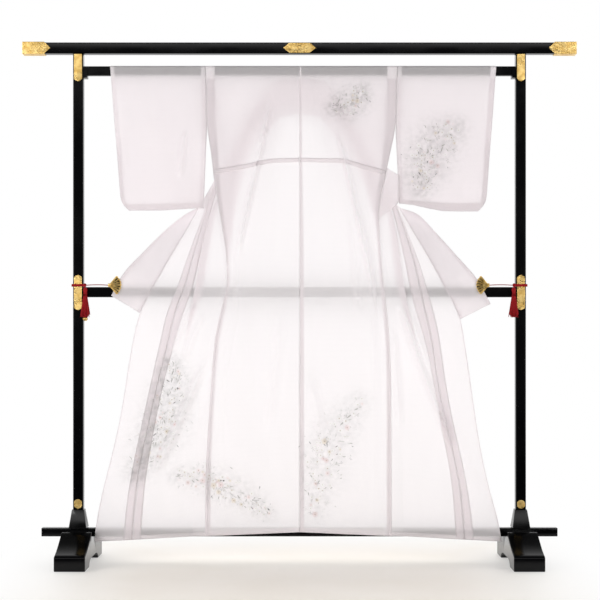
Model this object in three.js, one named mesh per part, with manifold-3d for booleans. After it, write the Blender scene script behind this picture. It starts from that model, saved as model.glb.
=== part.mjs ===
// A houmongi kimono hung open on a lacquered kimono stand. Millimetres, +Z up, the viewer's side is -Y.
//
// The cloth is a set of thin walls. Each panel is a grid of points worked out from the tables below, where a
// row gives the places of the panel's edges and folds at one height. The stand is built from plain bars.
import * as THREE from 'three';
import { mergeGeometries, mergeVertices } from 'three/addons/utils/BufferGeometryUtils.js';
import Module from 'manifold-3d';

const wasm = await Module();
wasm.setup();

// ---- driving dimensions -------------------------------------------------------------------------

const WALL = 1.2;          // modelled thickness of the silk
const SEAM_GAP = 0.3;      // clearance between pieces that touch
const LAP = WALL + SEAM_GAP;

const BEAM = { length: 1886, bottom: 1738, height: 38, depth: 32 };
const POST = { x: 755, width: 35, depth: 30 };
const ROD = { bottom: 1664, height: 32, depth: 18 };
const CROSSBAR = { bottom: 907, height: 35, depth: 20 };
const RAIL = { bottom: 91, height: 29, depth: 30, length: 1760 };
const FOOT = { length: 380, width: 103, toeHeight: 50, topHeight: 109, archHalf: 92, archHeight: 24 };
const BASE = { height: 63, topWidth: 41, bottomWidth: 61, topDepth: 36, bottomDepth: 54 };
const PLATE = { thickness: 1.2, width: 27, point: 9 };
const CAP = { wall: 1.5, length: 96, point: 22 };
const BRACKET = { width: 13, wall: 5, bottom: 1655, rise: 20 };
const TIE = { cord: 4.2, bottom: 943.5, turns: 2 };
const TASSEL = { x: 729, y: -23.5, top: 941.7, length: 104, headRadius: 7, skirtRadius: 8.5, strands: 28 };
const CLIP = { radius: 40, thickness: 2.4, jaw: 1.3, ribs: 7 };
const CLIP_CORD = { radius: 1.4 };

const HEM_Z = 100;                                // nominal hem, before the hem's own slope
const NECK_SEAM_Z = 1654;
const NECK_HALF = 92;
const SLEEVE_JOIN_Z = 1493;                       // the sleeve is sewn to the body above this
const TUCK = { centre: 1366, drop: 46, height: 17 };

// ---- cloth tables: distances from the centre line, outwards, at each height ---------------------

// The back's two stations: the soft crease that runs from the neck to the waist, and the side edge.
const BACK = {
  left: [
    { z: 1690, crease: 92, side: 321 }, { z: 1493, crease: 122, side: 316 },
    { z: 1400, crease: 139, side: 301 }, { z: 1315, crease: 156, side: 292 },
    { z: 1171, crease: 185, side: 268 }, { z: 1060, crease: 203, side: 250 },
    { z: 966, crease: 206, side: 241 }, { z: 860, crease: 205, side: 260 },
    { z: 757, crease: 222, side: 281 }, { z: 597, crease: 248, side: 293 },
    { z: 439, crease: 252, side: 303 }, { z: 310, crease: 252, side: 309 }, { z: 60, crease: 252, side: 310 },
  ],
  right: [
    { z: 1690, crease: 92, side: 334 }, { z: 1493, crease: 130, side: 328 },
    { z: 1400, crease: 147, side: 309 }, { z: 1335, crease: 162, side: 296 },
    { z: 1199, crease: 196, side: 269 }, { z: 1060, crease: 224, side: 273 },
    { z: 966, crease: 236, side: 279 }, { z: 860, crease: 240, side: 290 },
    { z: 757, crease: 247, side: 299 }, { z: 597, crease: 252, side: 303 },
    { z: 439, crease: 254, side: 303 }, { z: 310, crease: 254, side: 303 }, { z: 60, crease: 254, side: 303 },
  ],
};

// The front's stations, in order along the cloth from the side edge: the inner fold where the panel turns back
// behind itself, a pleat's outer and inner turns, and the seam where the collar or the okumi joins.
const FRONT = {
  left: [
    { z: 1690, fold: 205, out: 170, back: 130, seam: 93 }, { z: 1620, fold: 150, out: 128, back: 116, seam: 112 },
    { z: 1560, fold: 116, out: 124, back: 133, seam: 144 }, { z: 1424, fold: 152, out: 176, back: 200, seam: 222 },
    { z: 1325, fold: 186, out: 226, back: 246, seam: 277 }, { z: 1220, fold: 209, out: 300, back: 276, seam: 312 },
    { z: 1120, fold: 227, out: 332, back: 292, seam: 342 }, { z: 1034, fold: 240, out: 350, back: 306, seam: 368 },
    { z: 940, fold: 262, out: 362, back: 320, seam: 392 }, { z: 860, fold: 298, out: 376, back: 348, seam: 424 },
    { z: 757, fold: 318, out: 390, back: 386, seam: 447 }, { z: 650, fold: 330, out: 400, back: 425, seam: 473 },
    { z: 520, fold: 342, out: 410, back: 452, seam: 504 }, { z: 260, fold: 360, out: 428, back: 486, seam: 556 },
    { z: 60, fold: 366, out: 436, back: 500, seam: 574 },
  ],
  right: [
    { z: 1690, fold: 212, out: 174, back: 132, seam: 93 }, { z: 1620, fold: 154, out: 132, back: 119, seam: 115 },
    { z: 1560, fold: 120, out: 128, back: 137, seam: 147 }, { z: 1424, fold: 164, out: 184, back: 204, seam: 222 },
    { z: 1325, fold: 202, out: 236, back: 252, seam: 277 }, { z: 1220, fold: 240, out: 312, back: 290, seam: 330 },
    { z: 1120, fold: 268, out: 338, back: 304, seam: 364 }, { z: 1034, fold: 290, out: 350, back: 312, seam: 391 },
    { z: 940, fold: 310, out: 362, back: 324, seam: 411 }, { z: 860, fold: 324, out: 376, back: 350, seam: 428 },
    { z: 757, fold: 334, out: 396, back: 392, seam: 450 }, { z: 650, fold: 342, out: 404, back: 428, seam: 464 },
    { z: 520, fold: 346, out: 410, back: 450, seam: 487 }, { z: 260, fold: 354, out: 424, back: 482, seam: 548 },
    { z: 60, fold: 356, out: 430, back: 492, seam: 565 },
  ],
};

// The okumi's outer edge: along the collar down to its end, then the front edge to the hem.
const OKUMI = {
  left: [
    { z: 1325, edge: 281 }, { z: 1260, edge: 318 }, { z: 1215, edge: 343 }, { z: 1151, edge: 377 },
    { z: 1046, edge: 439 }, { z: 955, edge: 492 }, { z: 900, edge: 522 }, { z: 853, edge: 545 },
    { z: 720, edge: 575 }, { z: 504, edge: 609 }, { z: 371, edge: 641 }, { z: 255, edge: 672 },
    { z: 128, edge: 696 }, { z: 60, edge: 700 },
  ],
  right: [
    { z: 1325, edge: 281 }, { z: 1260, edge: 314 }, { z: 1200, edge: 347 }, { z: 1125, edge: 390 },
    { z: 1040, edge: 442 }, { z: 948, edge: 494 }, { z: 890, edge: 524 }, { z: 835, edge: 549 },
    { z: 756, edge: 562 }, { z: 651, edge: 578 }, { z: 467, edge: 604 }, { z: 282, edge: 641 },
    { z: 140, edge: 682 }, { z: 60, edge: 691 },
  ],
};

// The collar band from the centre back to its end: its sewn edge, its free edge, how far the free edge stands
// behind the sewn one where the band turns over, and how far its middle bulges out.
const COLLAR = {
  left: [
    { sewnX: 0, sewnZ: 1654, freeX: 0, freeZ: 1537, behind: 0, bulge: 2 },
    { sewnX: 50, sewnZ: 1655, freeX: 36, freeZ: 1534, behind: 0, bulge: 3 },
    { sewnX: 86, sewnZ: 1650, freeX: 68, freeZ: 1524, behind: 2, bulge: 5 },
    { sewnX: 128, sewnZ: 1590, freeX: 112, freeZ: 1474, behind: 16, bulge: 8 },
    { sewnX: 174, sewnZ: 1512, freeX: 164, freeZ: 1430, behind: 42, bulge: 9 },
    { sewnX: 232, sewnZ: 1406, freeX: 222, freeZ: 1352, behind: 66, bulge: 9 },
    { sewnX: 285, sewnZ: 1315, freeX: 282, freeZ: 1278, behind: 84, bulge: 9 },
    { sewnX: 326, sewnZ: 1245, freeX: 332, freeZ: 1232, behind: 90, bulge: 9 },
    { sewnX: 360, sewnZ: 1183, freeX: 388, freeZ: 1203, behind: 82, bulge: 9 },
    { sewnX: 398, sewnZ: 1116, freeX: 453, freeZ: 1150, behind: 60, bulge: 9 },
    { sewnX: 452, sewnZ: 1023, freeX: 545, freeZ: 1053, behind: 26, bulge: 8 },
    { sewnX: 504, sewnZ: 934, freeX: 603, freeZ: 985, behind: 0, bulge: 4 },
    { sewnX: 545, sewnZ: 853, freeX: 642, freeZ: 912, behind: 0, bulge: 2 },
  ],
  right: [
    { sewnX: 0, sewnZ: 1654, freeX: 0, freeZ: 1537, behind: 0, bulge: 2 },
    { sewnX: 50, sewnZ: 1655, freeX: 38, freeZ: 1531, behind: 0, bulge: 3 },
    { sewnX: 86, sewnZ: 1650, freeX: 74, freeZ: 1522, behind: 2, bulge: 5 },
    { sewnX: 130, sewnZ: 1590, freeX: 118, freeZ: 1467, behind: 16, bulge: 8 },
    { sewnX: 176, sewnZ: 1508, freeX: 154, freeZ: 1420, behind: 42, bulge: 9 },
    { sewnX: 232, sewnZ: 1406, freeX: 206, freeZ: 1360, behind: 66, bulge: 9 },
    { sewnX: 285, sewnZ: 1312, freeX: 274, freeZ: 1282, behind: 84, bulge: 9 },
    { sewnX: 326, sewnZ: 1238, freeX: 334, freeZ: 1226, behind: 90, bulge: 9 },
    { sewnX: 362, sewnZ: 1174, freeX: 404, freeZ: 1203, behind: 82, bulge: 9 },
    { sewnX: 404, sewnZ: 1102, freeX: 464, freeZ: 1140, behind: 60, bulge: 9 },
    { sewnX: 456, sewnZ: 1010, freeX: 548, freeZ: 1040, behind: 26, bulge: 8 },
    { sewnX: 506, sewnZ: 918, freeX: 605, freeZ: 969, behind: 0, bulge: 4 },
    { sewnX: 549, sewnZ: 832, freeX: 651, freeZ: 884, behind: 0, bulge: 2 },
  ],
};

// Each sleeve's outer edge and bottom corners.
const SLEEVE = {
  left: { outerTop: 646, outerBottom: 607, innerBottom: 327, bottomOuterZ: 1202, bottomInnerZ: 1210 },
  right: { outerTop: 671, outerBottom: 634, innerBottom: 340, bottomOuterZ: 1199, bottomInnerZ: 1226 },
};
const CUFF_OPEN_Z = 1470;    // the cuff is sewn shut below this
const SLEEVE_CORNER = 26;

// How far in front of the stand each layer hangs, as Y: the back panel, and the layer nearest the stand.
const DEPTH = [
  { z: 1690, back: -10, rear: 10 }, { z: 1560, back: -15, rear: 10 }, { z: 1424, back: -23, rear: 6 },
  { z: 1325, back: -28, rear: 0 }, { z: 1220, back: -32, rear: -5 }, { z: 1120, back: -36, rear: -11 },
  { z: 1034, back: -39, rear: -15 }, { z: 940, back: -42, rear: -20 }, { z: 700, back: -41, rear: -20 },
  { z: 400, back: -38, rear: -20 }, { z: 60, back: -38, rear: -21 },
];
const LAYER_STEP = 5;        // spacing of folded layers behind one another

// A soft diagonal fold across each front and okumi, below the knee line.
const DIAGONAL = {
  left: [
    { z: 800, x: 300 }, { z: 740, x: 312 }, { z: 624, x: 361 }, { z: 535, x: 386 }, { z: 436, x: 436 },
    { z: 368, x: 467 }, { z: 272, x: 518 }, { z: 60, x: 628 },
  ],
  right: [
    { z: 915, x: 327 }, { z: 768, x: 388 }, { z: 624, x: 429 }, { z: 467, x: 487 }, { z: 350, x: 563 },
    { z: 262, x: 621 }, { z: 60, x: 740 },
  ],
};

const HEM = [{ x: 0, z: 109 }, { x: 305, z: 96 }, { x: 570, z: 81 }, { x: 700, z: 75 }];

// ---- finishes -----------------------------------------------------------------------------------

const finish = (color, roughness, metalness = 0) => new THREE.MeshStandardMaterial({ color, roughness, metalness });
const silk = finish(0xefe8ea, 0.6);
const lacquer = finish(0x060607, 0.15);
const brass = finish(0xd8a43a, 0.3, 1);
const redCord = finish(0xc81e22, 0.75);

// ---- small helpers ------------------------------------------------------------------------------

const clamp01 = (value) => Math.min(1, Math.max(0, value));
const ease = (value) => { const t = clamp01(value); return t * t * (3 - 2 * t); };
const mix = (a, b, t) => a + (b - a) * t;
const bell = (distance, width) => Math.exp(-(distance * distance) / (2 * width * width));

// Reads one column of a table at a key, along a smooth curve that never overshoots a flat stretch.
function read(table, key, column, at) {
  const rows = [...table].sort((a, b) => a[key] - b[key]);
  const last = rows.length - 1;
  if (at <= rows[0][key]) return rows[0][column];
  if (at >= rows[last][key]) return rows[last][column];
  const i = rows.findIndex((row, k) => k < last && at <= rows[k + 1][key]);
  const slope = (k) => (rows[k + 1][column] - rows[k][column]) / (rows[k + 1][key] - rows[k][key]);
  const tangent = (k) => {
    if (k === 0) return slope(0);
    if (k === last) return slope(last - 1);
    const [before, after] = [slope(k - 1), slope(k)];
    return before * after <= 0 ? 0 : (2 * before * after) / (before + after);
  };
  const span = rows[i + 1][key] - rows[i][key];
  const t = (at - rows[i][key]) / span;
  const [t2, t3] = [t * t, t * t * t];
  return (2 * t3 - 3 * t2 + 1) * rows[i][column] + (t3 - 2 * t2 + t) * span * tangent(i)
    + (3 * t2 - 2 * t3) * rows[i + 1][column] + (t3 - t2) * span * tangent(i + 1);
}

const at = (table, column, z) => read(table, 'z', column, z);
const signOf = { left: -1, right: 1 };
const SIDES = ['left', 'right'];

// The hem slopes up towards the centre, and the slope fades out by knee height.
function hemmed(x, z) {
  const lift = read(HEM, 'x', 'z', Math.abs(x)) - HEM_Z;
  return z + lift * clamp01((500 - z) / 400);
}

// ---- walls --------------------------------------------------------------------------------------

// Makes a closed wall from a grid of points: the grid moved half a wall each way along its normals, with the
// open edges closed. has(i, j) says which cells of the grid are cloth. Both faces of a cell are split along the
// same diagonal, because the two faces of a twisted cell would cross otherwise.
function wall(grid, has = () => true) {
  const [rows, cols] = [grid.length, grid[0].length];
  const cell = (i, j) => i >= 0 && j >= 0 && i < rows - 1 && j < cols - 1 && has(i, j);
  const normals = grid.map((row) => row.map(() => new THREE.Vector3()));
  for (let i = 0; i < rows - 1; i += 1) {
    for (let j = 0; j < cols - 1; j += 1) {
      if (!cell(i, j)) continue;
      const corners = [[i, j], [i, j + 1], [i + 1, j + 1], [i + 1, j]];
      const points = corners.map(([a, b]) => grid[a][b]);
      const normal = points[2].clone().sub(points[0]).cross(points[3].clone().sub(points[1])).normalize();
      for (const [a, b] of corners) normals[a][b].add(normal);
    }
  }
  const position = [];
  const number = new Map();
  const vertex = (i, j, face) => {
    const name = `${i},${j},${face}`;
    if (!number.has(name)) {
      number.set(name, position.length / 3);
      const shift = normals[i][j].clone().normalize().multiplyScalar((face * WALL) / 2);
      position.push(...grid[i][j].clone().add(shift).toArray());
    }
    return number.get(name);
  };
  const index = [];
  const quad = (a, b, c, d) => index.push(a, b, c, a, c, d);
  for (let i = 0; i < rows - 1; i += 1) {
    for (let j = 0; j < cols - 1; j += 1) {
      if (!cell(i, j)) continue;
      quad(vertex(i, j, 1), vertex(i, j + 1, 1), vertex(i + 1, j + 1, 1), vertex(i + 1, j, 1));
      quad(vertex(i, j, -1), vertex(i + 1, j, -1), vertex(i + 1, j + 1, -1), vertex(i, j + 1, -1));
      const edge = (i0, j0, i1, j1) => {
        quad(vertex(i1, j1, 1), vertex(i0, j0, 1), vertex(i0, j0, -1), vertex(i1, j1, -1));
      };
      if (!cell(i - 1, j)) edge(i, j, i, j + 1);
      if (!cell(i, j + 1)) edge(i, j + 1, i + 1, j + 1);
      if (!cell(i + 1, j)) edge(i + 1, j + 1, i + 1, j);
      if (!cell(i, j - 1)) edge(i + 1, j, i, j);
    }
  }
  const geometry = new THREE.BufferGeometry();
  geometry.setAttribute('position', new THREE.Float32BufferAttribute(position, 3));
  geometry.setIndex(index);
  return outward(geometry);
}

// Turns a closed geometry's triangles over where its volume comes out negative.
function outward(geometry) {
  const { array } = geometry.attributes.position;
  const index = geometry.index.array;
  const corner = (k) => new THREE.Vector3().fromArray(array, index[k] * 3);
  let volume = 0;
  for (let k = 0; k < index.length; k += 3) volume += corner(k).dot(corner(k + 1).cross(corner(k + 2)));
  if (volume < 0) {
    for (let k = 0; k < index.length; k += 3) [index[k], index[k + 1]] = [index[k + 1], index[k]];
  }
  return geometry;
}

// ---- solids joined and cut ----------------------------------------------------------------------

function plain(geometry) {
  const bare = geometry.clone();
  bare.deleteAttribute('normal');
  bare.deleteAttribute('uv');
  return mergeVertices(bare, 1e-4);
}

function solid(geometry) {
  const merged = plain(geometry);
  return new wasm.Manifold(new wasm.Mesh({
    numProp: 3,
    vertProperties: Float32Array.from(merged.attributes.position.array),
    triVerts: Uint32Array.from(merged.index.array),
  }));
}

function geometryOf(manifold) {
  const { vertProperties, triVerts } = manifold.getMesh();
  const geometry = new THREE.BufferGeometry();
  geometry.setAttribute('position', new THREE.Float32BufferAttribute(vertProperties, 3));
  geometry.setIndex([...triVerts]);
  return geometry;
}

// A box between two corners.
function block(low, high) {
  const size = high.map((value, k) => value - low[k]);
  return new THREE.BoxGeometry(...size).translate(...high.map((value, k) => (value + low[k]) / 2));
}

// An outline in X and Z, drawn facing the viewer's side and extruded from yFront to yBack.
function slab(shape, yFront, yBack, curveSegments = 8) {
  return new THREE.ExtrudeGeometry(shape, { depth: yBack - yFront, bevelEnabled: false, curveSegments })
    .rotateX(Math.PI / 2).translate(0, yBack, 0);
}

// An outline in Y and Z extruded along X, centred on x.
function barAlongX(shape, x, width, curveSegments = 8) {
  return new THREE.ExtrudeGeometry(shape, { depth: width, bevelEnabled: false, curveSegments })
    .rotateX(Math.PI / 2).rotateZ(Math.PI / 2).translate(x - width / 2, 0, 0);
}

// A bar with its long edges chamfered, drawn across axis 'x' or 'z'.
function chamfered(width, depth, chamfer) {
  const [w, d] = [width / 2, depth / 2];
  return new THREE.Shape([
    [-w + chamfer, -d], [w - chamfer, -d], [w, -d + chamfer], [w, d - chamfer],
    [w - chamfer, d], [-w + chamfer, d], [-w, d - chamfer], [-w, -d + chamfer],
  ].map(([x, y]) => new THREE.Vector2(x, y)));
}

function uprightBar(x, y, bottom, height, width, depth, chamfer = 2) {
  return new THREE.ExtrudeGeometry(chamfered(width, depth, chamfer), { depth: height, bevelEnabled: false })
    .translate(x, y, bottom);
}

function levelBar(fromX, toX, y, bottom, height, depth, chamfer = 2) {
  return new THREE.ExtrudeGeometry(chamfered(height, depth, chamfer), { depth: toX - fromX, bevelEnabled: false })
    .rotateY(Math.PI / 2).translate(fromX, y, bottom + height / 2);
}

// A tube along a smooth route, with closed ends.
function tube(points, radius, steps, sides = 8) {
  const path = new THREE.CatmullRomCurve3(points.map((p) => new THREE.Vector3(...p)));
  const section = new THREE.Shape(Array.from({ length: sides }, (_, k) => {
    const angle = (2 * Math.PI * k) / sides;
    return new THREE.Vector2(radius * Math.cos(angle), radius * Math.sin(angle));
  }));
  return new THREE.ExtrudeGeometry(section, { steps, bevelEnabled: false, extrudePath: path });
}

const object = new THREE.Group();

function add(name, geometry, material) {
  const mesh = new THREE.Mesh(geometry.index ? geometry : plain(geometry), material);
  mesh.name = name;
  object.add(mesh);
}

// ---- the kimono ---------------------------------------------------------------------------------

// Heights at which the body panels have a row of points, from the hem up.
const PANEL_ROWS = [
  100, 118, 180, 260, 340, 420, 500, 580, 640, 680, 706, 720, 734, 748, 762, 776, 790, 812, 850, 900, 950, 1020,
  1090, 1150, 1190, 1215, 1232, 1244, 1256, 1268, 1282, 1300, 1325, 1400, 1460, 1500, 1530, 1550, 1565, 1578,
  1590, 1600, 1610, 1622, 1660,
];
const KENSAKI_Z = 1325;      // where the okumi's point meets the collar

// The way over the rod, from the viewer's side to the shoulder line on top, and on down to the neck seam.
const SHOULDER_Z = ROD.bottom + ROD.height + SEAM_GAP + WALL / 2;
const ROD_FACE = ROD.depth / 2 + SEAM_GAP + WALL / 2;
const ROD_TABLE_Z = 1690;     // the tables' row for everything that lies on the rod
const ROD_CHAMFER = 3;
const OVER_ROD = [
  { y: -ROD_FACE - 0.1, z: SHOULDER_Z - 9 }, { y: -ROD_FACE, z: SHOULDER_Z - 3.5 },
  { y: -ROD_FACE + ROD_CHAMFER, z: SHOULDER_Z }, { y: -SEAM_GAP / 2, z: SHOULDER_Z },
];
const BEHIND_ROD = OVER_ROD.map(({ y, z }) => ({ y: -y, z })).reverse();
const NECK_DROP = [...BEHIND_ROD.slice(1), { y: 10.4, z: 1672 }, { y: 11, z: NECK_SEAM_Z }];

// How strongly the back's creases and the front's layers stand out at each height.
const RELIEF = [
  { z: 1690, crease: 0, layers: 0 }, { z: 1652, crease: 0, layers: 0 }, { z: 1615, crease: 0.2, layers: 0.4 },
  { z: 1560, crease: 0.5, layers: 0.75 }, { z: 1424, crease: 1, layers: 1 },
  { z: 900, crease: 1, layers: 1 }, { z: 760, crease: 0.8, layers: 0.8 }, { z: 600, crease: 0.5, layers: 0.3 },
  { z: 60, crease: 0.2, layers: 0.2 },
];

// Two broad folds that run down the lower back.
const BACK_FOLDS = [
  { side: 'left', topX: 149, topZ: 829, bottomX: 286, bottomZ: 337, depth: 6, width: 26 },
  { side: 'right', topX: 9, topZ: 720, bottomX: 111, bottomZ: 337, depth: 7, width: 30 },
];

function backFolds(side, x, z) {
  let y = 0;
  for (const fold of BACK_FOLDS.filter((f) => f.side === side)) {
    const down = (fold.topZ - z) / (fold.topZ - fold.bottomZ);
    const strength = ease(down * 3) * ease((1.6 - down) * 2);
    y -= fold.depth * strength * bell(x - mix(fold.topX, fold.bottomX, down), fold.width);
  }
  return y;
}

// A point of the back panel: t runs 0 at the centre seam, 1 at the crease, 2 at the side edge.
function backPoint(side, t, z) {
  const crease = at(BACK[side], 'crease', z);
  const edge = at(BACK[side], 'side', z);
  const x = t < 1 ? mix(SEAM_GAP / 2, crease, t) : mix(crease, edge, t - 1);
  const strength = at(RELIEF, 'crease', z);
  const ridge = -9 * strength * bell(t - 1, 0.22);
  const dip = t > 1 ? 2.5 * strength * Math.sin(Math.PI * (t - 1)) : 0;
  const sag = (t < 1 ? 3 * Math.sin(Math.PI * t) : 0) * strength;
  const y = at(DEPTH, 'back', z) + ridge + dip + sag + backFolds(side, x, z);
  return new THREE.Vector3(signOf[side] * x, y, hemmed(x, z));
}

const BACK_COLUMNS = [0, 0.2, 0.4, 0.6, 0.8, 1, 1.25, 1.5, 1.75, 2];
const NECK_COLUMNS = 5;      // cells of the back that go on over the rod to the neck seam

function backPanel(side) {
  const hanging = PANEL_ROWS.map((z) => BACK_COLUMNS.map((t) => backPoint(side, t, z)));
  const over = [...OVER_ROD, ...NECK_DROP].map(({ y, z }) => BACK_COLUMNS.map((t) => {
    const { x } = backPoint(side, t, ROD_TABLE_Z);
    return new THREE.Vector3(x, y, z);
  }));
  const lastFull = hanging.length + OVER_ROD.length - 1;
  return wall([...hanging, ...over], (i, j) => i < lastFull || j < NECK_COLUMNS);
}

// The tuck lies on the inside of the back, made from the back's own points moved out. It stops short of the
// side, where the front's seam lies against the back.
const TUCK_COLUMNS = BACK_COLUMNS.filter((t) => t <= 1.5);

function waistTuck(side) {
  const rows = [0, TUCK.height].map((up) => TUCK_COLUMNS.map((t) => {
    const across = t / 2;
    const z = TUCK.centre - TUCK.drop * across * across + up;
    const point = backPoint(side, t, z);
    return point.add(new THREE.Vector3(0, LAP + 0.5, 0));
  }));
  return wall(rows);
}

// The side edge of the front: sewn to the sleeve behind the rod, then brought forward to the back's edge.
function sideDepth(side, z) {
  const joined = backPoint(side, 2, z).y + LAP;
  const behind = at(DEPTH, 'rear', z);
  return mix(joined, behind, ease((z - 1400) / (SLEEVE_JOIN_Z - 1400)));
}

function diagonalFold(side, x, z) {
  return -8 * ease((900 - z) / 160) * bell(x - at(DIAGONAL[side], 'x', z), 22);
}

// The front's stations at one height, in order along the cloth: place outwards from the centre, and depth.
function frontStations(side, z) {
  const rear = at(DEPTH, 'rear', z);
  const step = LAYER_STEP * at(RELIEF, 'layers', z);
  return [
    { x: at(BACK[side], 'side', z), y: sideDepth(side, z) },
    { x: at(FRONT[side], 'fold', z), y: rear - 3 * step },
    { x: at(FRONT[side], 'out', z), y: rear - 2 * step },
    { x: at(FRONT[side], 'back', z), y: rear - step },
    { x: at(FRONT[side], 'seam', z), y: rear },
  ];
}

function frontPoint(side, t, z) {
  const stations = frontStations(side, z);
  const k = Math.min(stations.length - 2, Math.floor(t));
  const [from, to] = [stations[k], stations[k + 1]];
  const x = mix(from.x, to.x, t - k);
  const nearSide = t < 1 ? ease(t * 2) : 1;
  const y = mix(from.y, to.y, t - k) + nearSide * diagonalFold(side, x, z);
  return new THREE.Vector3(signOf[side] * x, y, hemmed(x, z));
}

const FRONT_COLUMNS = [0, 0.33, 0.67, 1, 1.33, 1.67, 2, 2.5, 3, 3.5, 4];

function frontPanel(side) {
  const hanging = PANEL_ROWS.map((z) => FRONT_COLUMNS.map((t) => frontPoint(side, t, z)));
  const over = [...BEHIND_ROD].reverse().map(({ y, z }) => FRONT_COLUMNS.map((t) => {
    const { x } = frontPoint(side, t, ROD_TABLE_Z);
    return new THREE.Vector3(x, y, z);
  }));
  return wall([...hanging, ...over]);
}

// The okumi: u runs from the seam on the front panel to the outer edge.
function okumiPoint(side, u, z) {
  const seam = at(FRONT[side], 'seam', z);
  const x = mix(seam, at(OKUMI[side], 'edge', z), u);
  const hollow = 3 * Math.sin(Math.PI * u) * ease((1100 - z) / 300);
  const y = at(DEPTH, 'rear', z) + LAP + diagonalFold(side, x, z) - hollow;
  return new THREE.Vector3(signOf[side] * x, y, hemmed(x, z));
}

const OKUMI_COLUMNS = [0, 0.2, 0.4, 0.6, 0.8, 1];

function okumiPanel(side) {
  const rows = PANEL_ROWS.filter((z) => z <= KENSAKI_Z);
  return wall(rows.map((z) => OKUMI_COLUMNS.map((u) => okumiPoint(side, u, z))));
}

// The collar band, turned over at the sleeve's corner, from the left end round the neck to the right end.
const COLLAR_GAP = LAP + 0.4;

function collarPoint(side, k, u) {
  const table = COLLAR[side].map((row, index) => ({ ...row, index }));
  const value = (column) => read(table, 'index', column, k);
  const [sewnX, sewnZ, freeX, freeZ] = ['sewnX', 'sewnZ', 'freeX', 'freeZ'].map(value);
  const onOkumi = ease((KENSAKI_Z + 50 - sewnZ) / 50);
  const atNeck = ease((NECK_HALF + 40 - sewnX) / 40) * ease((sewnZ - 1560) / 60);
  const carrier = mix(at(DEPTH, 'rear', sewnZ) + LAP * onOkumi, 11, atNeck);
  const sewnY = carrier + COLLAR_GAP;
  const y = sewnY + value('behind') * u + value('bulge') * Math.sin(Math.PI * u);
  return new THREE.Vector3(signOf[side] * mix(sewnX, freeX, u), y, mix(sewnZ, freeZ, u));
}

const COLLAR_COLUMNS = [0, 0.2, 0.4, 0.6, 0.8, 1];
const COLLAR_STEPS = 3;      // rows between two rows of its table

function collar() {
  const last = COLLAR.left.length - 1;
  const rows = [];
  for (let k = -last * COLLAR_STEPS; k <= last * COLLAR_STEPS; k += 1) {
    const side = k < 0 ? 'left' : 'right';
    rows.push(COLLAR_COLUMNS.map((u) => collarPoint(side, Math.abs(k) / COLLAR_STEPS, u)));
  }
  return wall(rows);
}

// Half of a sleeve, on the viewer's side ('back') or behind the rod ('front'): u runs from the body outwards.
const SLEEVE_ROWS = [1660, 1600, 1540, 1493, 1430, 1370, 1310, 1270, 1244];
const SLEEVE_FOOT = [0.45, 0.8, 0.94, 1];    // the rest of the way down to the bottom seam
const SLEEVE_COLUMNS = [0, 0.17, 0.36, 0.55, 0.74, 0.88, 0.96, 1];

function sleeveDepth(half, u, z, bottom) {
  const sewn = at(DEPTH, half === 'back' ? 'back' : 'rear', Math.max(z, SLEEVE_JOIN_Z));
  const down = clamp01((SLEEVE_JOIN_Z - z) / (SLEEVE_JOIN_Z - 1260));
  const hanging = half === 'back' ? mix(sewn, -22, down) : mix(sewn, -12, down);
  const middle = mix(0, -18, clamp01((ROD_TABLE_Z - z) / 460));
  const shutCuff = ease((u - 0.86) / 0.14) * ease((CUFF_OPEN_Z - z) / 60);
  const shut = Math.max(ease((bottom + 50 - z) / 50), shutCuff);
  const touching = middle + (half === 'back' ? -LAP / 2 : LAP / 2);
  const wave = 2.5 * Math.sin(3 * Math.PI * u) * ease((1640 - z) / 200) * (1 - shut);
  return mix(hanging + wave, touching, shut);
}

function sleeveHalf(side, half) {
  const size = SLEEVE[side];
  const bottomAt = (u) => mix(size.bottomInnerZ, size.bottomOuterZ, ease(u * 1.6));
  const lowest = SLEEVE_ROWS[SLEEVE_ROWS.length - 1];
  const place = (u, z) => {
    const down = clamp01((SLEEVE_JOIN_Z - z) / (SLEEVE_JOIN_Z - size.bottomOuterZ));
    const joint = at(BACK[side], 'side', Math.max(z, SLEEVE_JOIN_Z)) + 0.5;
    const inner = mix(joint, size.innerBottom, down);
    const fall = clamp01((ROD_TABLE_Z - z) / (ROD_TABLE_Z - size.bottomOuterZ));
    const rise = Math.max(0, SLEEVE_CORNER - (z - bottomAt(u)));
    const corner = SLEEVE_CORNER - Math.sqrt(SLEEVE_CORNER ** 2 - rise ** 2);
    return mix(inner, mix(size.outerTop, size.outerBottom, fall) - corner, u);
  };
  const point = (u, z) => new THREE.Vector3(signOf[side] * place(u, z), sleeveDepth(half, u, z, bottomAt(u)), z);
  const rows = [
    ...SLEEVE_ROWS.map((z) => SLEEVE_COLUMNS.map((u) => point(u, z))),
    ...SLEEVE_FOOT.map((s) => SLEEVE_COLUMNS.map((u) => point(u, mix(lowest, bottomAt(u), s)))),
  ];
  const over = half === 'back' ? [...OVER_ROD].reverse() : BEHIND_ROD;
  const top = over.map(({ y, z }) => {
    return SLEEVE_COLUMNS.map((u) => new THREE.Vector3(signOf[side] * place(u, ROD_TABLE_Z), y, z));
  });
  return wall([...top, ...rows]);
}

for (const side of SIDES) {
  add(`back_${side}`, backPanel(side), silk);
  add(`front_${side}`, frontPanel(side), silk);
  add(`okumi_${side}`, okumiPanel(side), silk);
  add(`sleeve_${side}_back`, sleeveHalf(side, 'back'), silk);
  add(`sleeve_${side}_front`, sleeveHalf(side, 'front'), silk);
  add(`waist_tuck_${side}`, waistTuck(side), silk);
}
add('collar', collar(), silk);

// ---- the stand ----------------------------------------------------------------------------------

const BASE_BOTTOM = RAIL.bottom + RAIL.height + SEAM_GAP;
const POST_BOTTOM = BASE_BOTTOM + BASE.height + SEAM_GAP;
const POST_TOP = BEAM.bottom - SEAM_GAP;
const POST_INNER = POST.x - POST.width / 2;

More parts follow.
